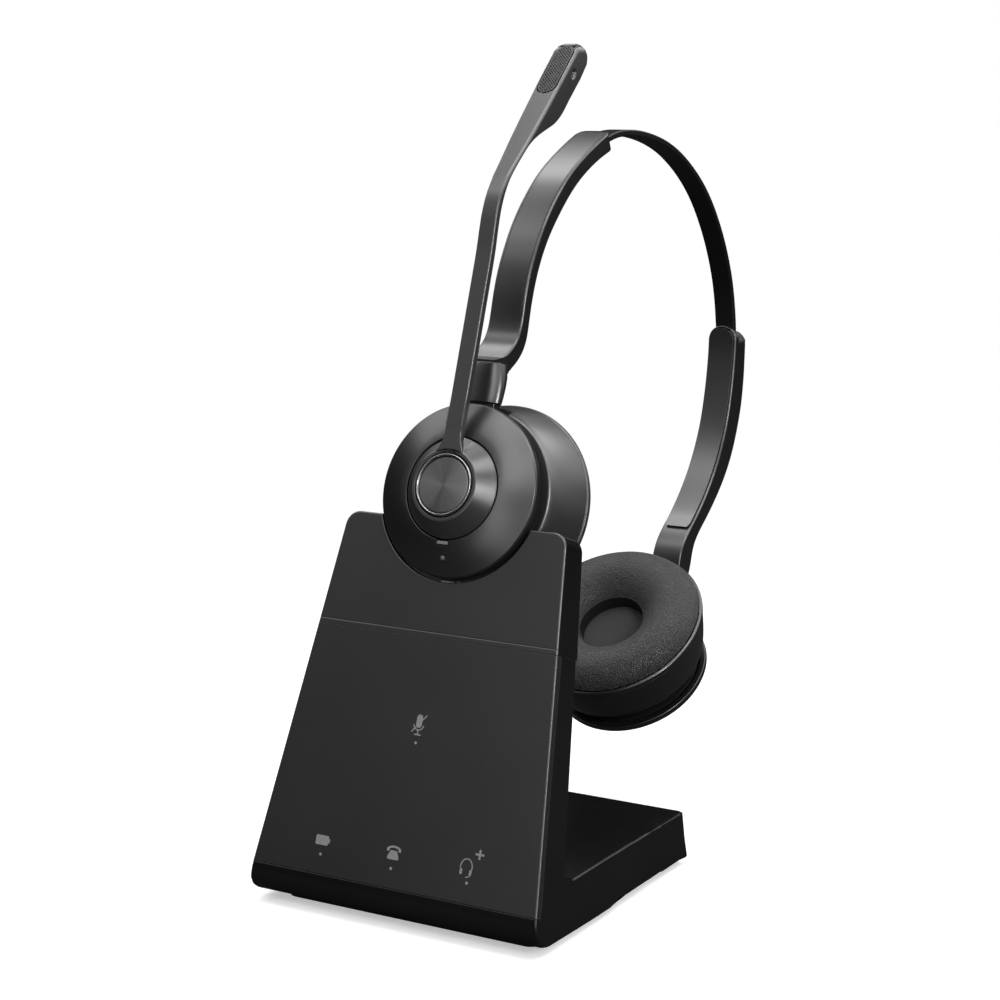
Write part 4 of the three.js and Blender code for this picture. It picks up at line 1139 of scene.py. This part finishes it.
# ================================================================== boom
# drawing (y, z): up the front of the arm, round its tip, and back down behind
BOOM_FRONT = [
    at_cup(13, 8.3), at_cup(16, 8.5), at_cup(19, 8.6), (35.45, 140.7), (42.75, 162.4),
    (49.95, 183.8), (51.5, 189.5), (53.0, 194.6), (55.3, 199.6), (59.0, 204.5)]
BOOM_FRONT_UPPER = [(59.6, 205.1), (66.8, 211.9), (76.2, 220.8), (86.0, 230.2), (93.6, 237.45),
                    (95.4, 239.15)]
BOOM_TIP = [(95.4, 239.15), (97.9, 241.45, 1.6), (99.9, 241.25, 1.8), (102.3, 238.1, 2.2),
            (102.0, 235.4, 1.5), (97.8, 230.7)]          # third value: corner radius
BOOM_BACK = [
    (97.8, 230.7), (94.7, 227.75), (91.5, 224.7), (88.8, 221.9), (86.3, 219.8), (83.8, 218.35),
    (80.4, 217.1), (76.1, 215.6), (72.5, 214.0), (69.4, 212.0), (66.5, 209.4), (62.6, 205.6),
    (60.0, 202.7), (57.9, 199.6), (56.2, 196.4), (54.9, 193.2), (53.6, 188.9), (52.1, 183.0),
    (44.9, 161.6), (37.6, 139.9), at_cup(20, 6.5), at_cup(13, 6.4)]
# (half width, z) seen from the front
BOOM_HALF_WIDTHS = [
    (2.65, 118), (2.65, 150), (2.65, 190), (2.68, 201), (2.95, 207), (3.4, 212.5),
    (3.78, 219), (4.02, 226), (4.15, 232.5)]
# cup frame: (half width, up) where the arm widens into the hub
FLARE = [(4.7, 8.4), (4.38, 9.3), (3.9, 10.35), (3.38, 11.45), (2.98, 12.6), (2.76, 13.8),
         (2.68, 15.0), (2.63, 17.0), (2.6, 18.4)]
# cup frame: (x, up, out) corners of half the web under the flare
WEB = [(2.5, 9.0, 8.2), (2.5, 11.15, 8.2), (2.5, 15.1, 3.8), (2.5, 9.0, 3.8),
       (3.95, 9.0, 8.2), (3.95, 9.85, 8.2), (3.95, 13.85, 3.8), (3.95, 9.0, 3.8)]
HUB = [(9.3, 1.2), (14.4, 1.2), (14.4, 3.75, 0.3), (14.05, 4.2, 0.4), (10.3, 8.5), (9.3, 8.5)]
HUB_BORE = 9.3
GRILLE_PLACE = INTO_FRONT_CUP @ DRAWING @ leaning(0.7212, 0.6927, 90.0, 234.03)
HOLE_PITCH, HOLE_R = 0.96, 0.25


def boom_slot(half_width, half_length, radius):
    return slab(0, 0, 2 * half_width, 2 * half_length, radius, 8)


def boom_web():
    """Web between arm and hub cone, its flanks sloping down to the cone."""
    o = new_obj("web", [(x * k, y, z) for k in (-1, 1) for x, y, z in WEB], [])
    with edit(o) as bm:
        bmesh.ops.convex_hull(bm, input=bm.verts)
        bmesh.ops.recalc_face_normals(bm, faces=bm.faces)
    return boolean(o, [cutter(circle(14.37, 192), 0, 12)], "INTERSECT")


def boom_edge(middle, direction):
    r = math.hypot(middle.x, middle.y)
    if r < 9.6:
        return 0.12                             # hub's bore
    if middle.y < 19 and middle.z > 8.3:
        return 0.26                             # flare
    if r < 14.6:
        return 0.08
    if middle.y > 118 and abs(middle.x) < 3.6:
        return 0.16                             # grille's seat
    return 0.42 + 0.5 * min(max((middle.y - 74) / 14, 0), 1)    # grows towards the tip


def boom_arm():
    outline = ((spline(BOOM_FRONT, 6) + spline(BOOM_FRONT_UPPER, 4))[:-1]
               + fillet(BOOM_TIP, 5, closed=False) + spline(BOOM_BACK, 4)[1:])
    right = spline(BOOM_HALF_WIDTHS, 5) + [(4.13, 236.0)]
    right += [(4.12 * math.cos(a), 238.75 + 2.88 * math.sin(a))
              for a in np.linspace(0, math.pi / 2, 13)]
    width = right + [(-x, z) for x, z in right[::-1]][1:]
    o = prism("boom_arm_moulding", outline, -12, 12, SIDE_VIEW)
    o = boolean(o, [cutter(width, -160, 0, FRONT_VIEW)], "INTERSECT")
    o.data.transform(INTO_FRONT_CUP)
    flare = prism("flare", [(-x, y) for x, y in FLARE] + FLARE[::-1], 6.75, 8.5)
    for part in (lathe("hub", HUB, 192), flare, boom_web()):
        boolean(o, [part], "UNION", merge=False)
    # small oval port on the tip
    port_place = (INTO_FRONT_CUP @ SIDE_VIEW @ Matrix.Translation((93.6, 232.6, 0))
                  @ Matrix.Rotation(math.radians(-46), 4, "Z"))
    boolean(o, [
        cutter(circle(HUB_BORE, 192), -1, 12),
        cutter(boom_slot(3.18, 9.75, 3.1), -1.5, 3, GRILLE_PLACE),
        cutter(boom_slot(1.8, 6.0, 1.6), -5.2, 0, GRILLE_PLACE),
        cutter(circle(0.62, 32, radius_y=1.15), 3.2, 8, port_place)], merge=False)
    bevel(o, boom_edge, 3, 32)
    close_up(o)
    finish(o, "boom", "boom", FRONT_CUP, "boom_arm")


def microphone_grille():
    """Thin plate with real holes on a slanted grid."""
    o = prism("microphone_grille_plate", boom_slot(3.0, 9.55, 2.9), -1.2, 0.12, GRILLE_PLACE)
    holes = []
    for i in range(-24, 25):
        for j in range(-24, 25):
            x = (i - j) * HOLE_PITCH * 0.5
            y = (i + j) * HOLE_PITCH * 0.5
            if (abs(x) / 2.65) ** 2.6 + (abs(y) / 9.15) ** 6 <= 1.0:
                holes.append(cutter(circle(HOLE_R, 8, x, y), -0.6, 1.5, GRILLE_PLACE))
    boolean(o, [join(holes)])
    finish(o, "grille", "boom", FRONT_CUP, "microphone_grille", 30, False)


# ================================================================== headband
BAND_HALF = 11.3 / 2
SPRING_T = 2.0
# drawing (y, z): outer face from the mouth down, inner face from the shelf up
BAND_OUTER = [
    (114.0, 215.95), (108.0, 213.6), (101.5, 210.7), (95.1, 207.5), (88.9, 203.8),
    (83.2, 199.2), (77.7, 193.9), (73.0, 188.3), (69.8, 183.3), (67.1, 178.6), (65.1, 174.0),
    (63.5, 169.2), (62.35, 164.8), (61.2, 161.2), (59.5, 158.5), (57.0, 156.5), (54.4, 155.1),
    (51.7, 153.9)]
BAND_INNER = [
    (55.6, 149.9), (57.6, 150.9), (60.2, 152.4), (63.0, 155.0), (64.9, 158.4), (65.9, 162.2),
    (67.1, 166.7), (68.8, 171.7), (71.0, 176.7), (73.9, 181.7), (77.5, 186.5), (82.4, 191.6),
    (88.3, 196.9), (94.2, 201.2), (100.3, 204.6), (106.8, 207.5), (114.6, 210.2)]
# drawing (y, z): outer face of the spring, front to rear
SPRING = [
    (99.5, 207.6), (104.6, 209.8), (109.6, 212.1), (114.6, 213.9), (119.0, 215.1),
    (123.0, 215.85), (129.3, 216.1), (136.4, 215.8), (142.6, 215.0), (149.4, 213.7),
    (156.1, 211.9), (163.3, 209.2), (170.6, 205.5), (177.7, 201.0), (184.1, 195.9),
    (189.1, 190.8), (193.5, 185.3), (197.5, 179.4), (201.5, 172.0), (204.5, 164.8),
    (206.6, 156.8), (207.6, 150.5)]
# (up the cup, half width, half thickness, depth of its middle behind the disc's rim)
STEM = [(26.0, 6.35, 2.6, 3.6), (28.0, 6.5, 2.7, 3.7), (31.0, 6.5, 2.9, 4.0),
        (34.0, 6.2, 3.2, 4.3), (36.6, 5.55, 3.3, 4.5), (37.6, 5.3, 3.0, 4.4)]

outer_band = smooth_line(BAND_OUTER, 90, 6)[1:]
inner_band = smooth_line(BAND_INNER, 90, 6)[:-2]
spring_line = smooth_line(SPRING, 120, 8)
cover_line = [p for p in inner_band if 162.0 < p[1] < 201.9]


def stem(power=2.4, seg=64):
    """Superelliptic stem below the shelf."""
    def bulge(value):
        return abs(value) ** (2 / power) * (1 if value >= 0 else -1)

    verts, faces = [], []
    for up, half_width, half_depth, depth in STEM:
        for x, y in circle(1, seg):
            verts.append((half_width * bulge(x), up, -depth - half_depth * bulge(y)))
    last = (len(STEM) - 1) * seg
    for ring in range(0, last, seg):
        for k in range(seg):
            k2 = (k + 1) % seg
            faces.append([ring + k, ring + k2, ring + seg + k2, ring + seg + k])
    faces += [list(range(seg))[::-1], [last + k for k in range(seg)]]
    return new_obj("stem", verts, faces, FRONT_CUP)


def tongue(place):
    """Flat tongue that enters a cup and takes the yoke's pin."""
    outline = fillet([(27.6, -2.62), (20.2, -2.62, 1.6), (18.5, YOKE_OUT, 1.7),
                      (20.2, -6.12, 1.6), (27.6, -6.12)], 6)
    return prism("tongue", outline, -4.9, 4.9, place @ ACROSS)


def band_end(far, radius, z0, z1, direction, y, z):
    """Keeps the band on one side of a rounded end at (y, z)."""
    along = Vector(direction).normalized()
    half = BAND_HALF + 0.05
    return cutter(trapezoid(half, far, half, 0.0, 0, radius, 8), z0, z1,
                  DRAWING @ leaning(along.x, along.y, y, z))


def band_edge(middle, direction):
    if (INTO_FRONT_CUP @ middle).y < 35.0:
        return 0.22                             # stem and tongue
    if abs(middle.x) < 4.9:
        # fine line along the edge; else the spring's pocket and the cover's seat
        return 0.02 if abs(abs(middle.x) - 4.72) < 0.12 else 0.12
    if abs(middle.x) > 5.4 and abs(direction.x) < 0.5:
        return 0.62
    return 0.45


def headband_shell():
    mouth = fillet([inner_band[-1], (115.35, 210.35, 2.0), (115.0, 216.15, 0.9),
                    outer_band[0]], 6, closed=False)[1:-1]
    shelf = [(50.9, 153.1), at_cup(36.6, -1.2), at_cup(35.6, -1.5), at_cup(35.6, -6.5)]
    o = prism("headband_front_moulding", outer_band + shelf + inner_band + mouth,
              -BAND_HALF, BAND_HALF, SIDE_VIEW)
    o = boolean(o, [band_end(-150, 3.6, -160, 60, (0.93, 0.367), 115.5, 212.9)], "INTERSECT")
    o = boolean(o, [band_end(150, 3.4, -60, 160, (0.905, 0.425), 50.95, 153.0)], "INTERSECT")
    in_pocket = [p for p in spring_line if p[0] < 125]
    o = boolean(o, [cutter(strip_between(in_pocket, -0.35, 2.35), -3.85, 3.85, SIDE_VIEW)])
    o = boolean(o, [stem(), tongue(FRONT_CUP)], "UNION")
    seat = strip_between(stretch_ends(cover_line, 0.12), 0.6, -1.15)
    fine_line = strip_between([p for p in outer_band if 62.6 < p[0] < 111.5], 0.6, -0.25)
    boolean(o, [yoke_bore(1.07, FRONT_CUP), cutter(seat, -4.42, 4.42, SIDE_VIEW)]
            + [cutter(fine_line, k * 4.72 - 0.07, k * 4.72 + 0.07, SIDE_VIEW) for k in (-1, 1)])
    bevel(o, band_edge)
    finish(o, "satin", "headband", replaces="headband_shell")


def headband_cover():
    o = prism("headband_inner_strip", strip_between(cover_line, 0.0, -0.95), -4.25, 4.25,
              SIDE_VIEW)
    bevel(o, 0.16, 2, 35)
    finish(o, "matte", "headband", replaces="headband_inner_cover")


def spring_band():
    """Spring with a straight tongue inside the slider."""
    outer = spring_line + [(207.85, 147.5), (207.9, 144), (207.9, 121.5)]
    inner = offset_line(spring_line, SPRING_T) + [(206.05, 147.5), (206.1, 144), (206.1, 121.5)]
    o = prism("spring_band_strip", outer + inner[::-1], -3.5, 3.5, SIDE_VIEW)
    bevel(o, 0.5, 3, 32)
    finish(o, "spring", "headband", replaces="spring_band")


# ================================================================== slider arm
ARM_HALF = 10.4 / 2
# drawing (y, z): outer face from the top down, inner face from the rear cup up
ARM_OUTER = [
    (211.75, 150.5), (211.75, 143.5), (211.5, 137.5), (210.9, 130.5), (209.3, 122.0),
    (206.4, 113.9), (202.4, 105.9), (197.2, 98.9), (190.9, 92.7), (184.0, 87.1), (178.0, 82.7),
    (175.0, 79.6), (173.4, 76.3), (172.6, 73.2), (171.3, 70.6), at_rear(36, -1.3),
    at_rear(32, -1.2), at_rear(26.4, -1.2)]
ARM_INNER = [
    at_rear(26.4, -6.35), at_rear(32, -6.4), (164.1, 75.4), (165.6, 79.0), (167.8, 82.0),
    (171.2, 84.9), (177.3, 89.5), (184.4, 96.0), (191.2, 104.1), (197.6, 115.4),
    (201.2, 126.5), (203.3, 137.3), (203.95, 143.5), (204.0, 150.5)]
arm_outer = smooth_line(ARM_OUTER, 110, 4)
arm_inner = smooth_line(ARM_INNER, 110, 4)
seat_line = [p for p in arm_inner if 85.05 < p[1] < 150]


def arm_piece(name, y0, y1, top, radius):
    """Slice of the arm between two y planes, with a rounded top."""
    half = ARM_HALF + 0.02
    o = prism(name, arm_outer + arm_inner, -ARM_HALF, ARM_HALF, SIDE_VIEW)
    o = boolean(o, [cutter(trapezoid(half, 40, half, top, 0, radius, 14), -300, 0, FRONT_VIEW)],
                "INTERSECT")
    return boolean(o, [cutter(rectangle(-20, 20, y0, y1), 0, 200, DRAWING)], "INTERSECT")


def seat_strip(name, offset0, offset1, half, low, top, radius):
    """Strip along the arm's inner face, cut to a rounded outline seen from the front."""
    o = prism(name, strip_between(seat_line, offset0, offset1), -6, 6, SIDE_VIEW)
    plan = trapezoid(half, low, half, top, 1.5, radius, 14)
    return boolean(o, [cutter(plan, -300, 0, FRONT_VIEW)], "INTERSECT")


def arm_edge(middle, direction):
    y = middle.y + FOOT_Y
    if (INTO_REAR_CUP @ middle).y < 27.5:
        return 0.2                              # tongue
    if abs(middle.x) < 4.6:
        return 0.3 if middle.z > 145.5 else 0.03
    if middle.z > 140 and 205.9 < y < 206.8:
        return 0.05                             # step between the halves
    if middle.z > 140 and 205.2 < y < 208.6 and abs(middle.x) < 5.0:
        return 0.3
    return 0.62


def slider_arm():
    """Two halves, the taller one towards the head; the spring enters between them."""
    o = arm_piece("slider_arm_moulding", 100, 206.35, 149.35, 5.15)
    o = boolean(o, [arm_piece("outer_half", 206.3, 230, 147.2, 4.6)], "UNION")
    o = boolean(o, [tongue(REAR_CUP)], "UNION")
    seat = seat_strip("seat", 0.8, -0.9, half=4.52, low=85.55, top=148.85, radius=4.5)
    boolean(o, [cutter(rectangle(-3.85, 3.85, 205.75, 208.3), 120.8, 152, DRAWING),
                yoke_bore(1.07, REAR_CUP), seat])
    bevel(o, arm_edge)
    finish(o, "satin", "slider", replaces="slider_arm")


def slider_cover():
    o = seat_strip("slider_inner_strip", 0.0, -0.75, half=4.42, low=85.65, top=148.75,
                   radius=4.4)
    bevel(o, 0.06, 2, 35)
    finish(o, "strip", "slider", replaces="slider_inner_cover")


# ================================================================== floor, light, camera
def floor_paper():
    """Bright paper to the camera, fading to plain white far out; dark to other rays."""
    m = Graph(bpy.data.materials.new("floor_paper"))
    m.texture_space()
    camera_ray = m.add("ShaderNodeLightPath").outputs["Is Camera Ray"]
    diffuse = m.add("ShaderNodeBsdfDiffuse", {"Color": (0.86, 0.86, 0.86, 1)})
    m.feed(diffuse.inputs["Color"], m.ramp(m.noise(300), [(0.3, 0.85), (0.7, 0.87)]))
    glow = m.add("ShaderNodeEmission", {"Color": (1, 1, 1, 1), "Strength": 0.42})
    paper = m.add("ShaderNodeAddShader", {0: diffuse.outputs["BSDF"],
                                          1: glow.outputs["Emission"]})
    dark = m.add("ShaderNodeBsdfDiffuse", {"Color": (0.035, 0.035, 0.035, 1)})
    distance = m.vector_math("LENGTH", m.coord)
    far = m.math("DIVIDE", m.minus(distance, 0.22), 0.35, clamp=True)
    white = m.add("ShaderNodeEmission", {"Strength": 1.0})
    fade = m.add("ShaderNodeMixShader", {"Fac": far, 1: paper.outputs["Shader"],
                                         2: white.outputs["Emission"]})
    seen = m.add("ShaderNodeMixShader", {"Fac": camera_ray, 1: dark.outputs["BSDF"],
                                         2: fade.outputs["Shader"]})
    m.feed(m.out.inputs["Surface"], seen.outputs["Shader"])
    return m.owner


def floor_sheet():
    o = new_obj("floor_sheet", [(-6, -6, 0), (6, -6, 0), (6, 6, 0), (-6, 6, 0)], [[0, 1, 2, 3]])
    o.data.materials.append(floor_paper())


def studio_world():
    """White to the camera, nearly black to everything else."""
    scene.world = bpy.data.worlds.new("studio")
    w = Graph(scene.world, "ShaderNodeOutputWorld")
    dark, white = (w.add("ShaderNodeBackground", {"Color": (v, v, v, 1)}).outputs[0]
                   for v in (0.004, 1))
    camera_ray = w.add("ShaderNodeLightPath").outputs["Is Camera Ray"]
    mix = w.add("ShaderNodeMixShader", {"Fac": camera_ray, 1: dark, 2: white})
    w.feed(w.out.inputs["Surface"], mix.outputs[0])


LIGHT_AIM = Vector((0, 0.03, 0.12))
LIGHT_LEVEL = 1.10
# soft boxes on a 1 m sphere round the aim: azimuth, elevation (degrees), watts
SOFT_BOXES = [
    (-59, 6, 0.54), (-29, 6, 1.28), (31, 6, 0.14), (271, 6, 0.47), (-34, 20, 2.60),
    (-19, 22, 0.57), (21, 22, 0.23), (41, 22, 0.25), (61, 22, 0.36), (101, 22, 0.10),
    (161, 22, 0.10), (221, 22, 0.12), (261, 22, 0.40), (281, 22, 0.15), (-59, 40, 0.42),
    (-33, 40, 0.11), (-8, 40, 0.13), (18, 40, 0.65), (44, 40, 0.53), (70, 40, 1.17),
    (95, 40, 0.36), (147, 40, 0.46), (172, 40, 0.51), (198, 40, 0.67), (224, 40, 0.11),
    (275, 40, 0.93), (-19, 60, 1.77), (21, 60, 0.91), (61, 60, 0.59), (141, 60, 1.46),
    (181, 60, 0.18), (221, 60, 0.61), (261, 60, 0.88), (-59, 80, 0.82), (121, 80, 0.89),
    (211, 80, 1.06),
]


def soft_boxes():
    for i, (azimuth, elevation, watts) in enumerate(SOFT_BOXES):
        a, e = math.radians(azimuth), math.radians(elevation)
        location = LIGHT_AIM + Vector((math.cos(a) * math.cos(e), math.sin(a) * math.cos(e),
                                       math.sin(e)))
        light = bpy.data.lights.new("box_%02d" % i, "AREA")
        light.shape = "RECTANGLE"
        light.size = light.size_y = 0.2 if watts > 2.5 else 0.36
        light.energy = watts * LIGHT_LEVEL
        light.spread = math.pi
        o = bpy.data.objects.new("box_%02d" % i, light)
        scene.collection.objects.link(o)
        o.location = location
        o.rotation_euler = (LIGHT_AIM - location).to_track_quat("-Z", "Y").to_euler()


def view_camera():
    camera = bpy.data.cameras.new("view")
    o = bpy.data.objects.new("view", camera)
    scene.collection.objects.link(o)
    camera.sensor_width, camera.lens, camera.clip_start = 36.0, 84.40, 0.01
    o.location = (0.34442, -0.51120 - FOOT_Y * MM, 0.22934)
    backwards = Vector((0.5093, -0.8428, 0.1741)).normalized()
    o.rotation_euler = backwards.to_track_quat("Z", "Y").to_euler()
    scene.camera = o
    scene.view_settings.view_transform = "Standard"


# ================================================================== build
for material, names in CARRIED.items():
    for name in names.split():
        dress(NODES[name], material)

stand_housing()
foot_pad()
touch_panel()
cradle_head()
icons()
for side, place in CUPS:
    cup_disc(side, place)
    cup_core(side, place)
    cup_shell(side, place)
    cup_cloth(side, place)
cushions()
call_button()
cup_lights()
volume_rocker()
boom_arm()
microphone_grille()
headband_shell()
headband_cover()
spring_band()
slider_arm()
slider_cover()
floor_sheet()
studio_world()
soft_boxes()
view_camera()
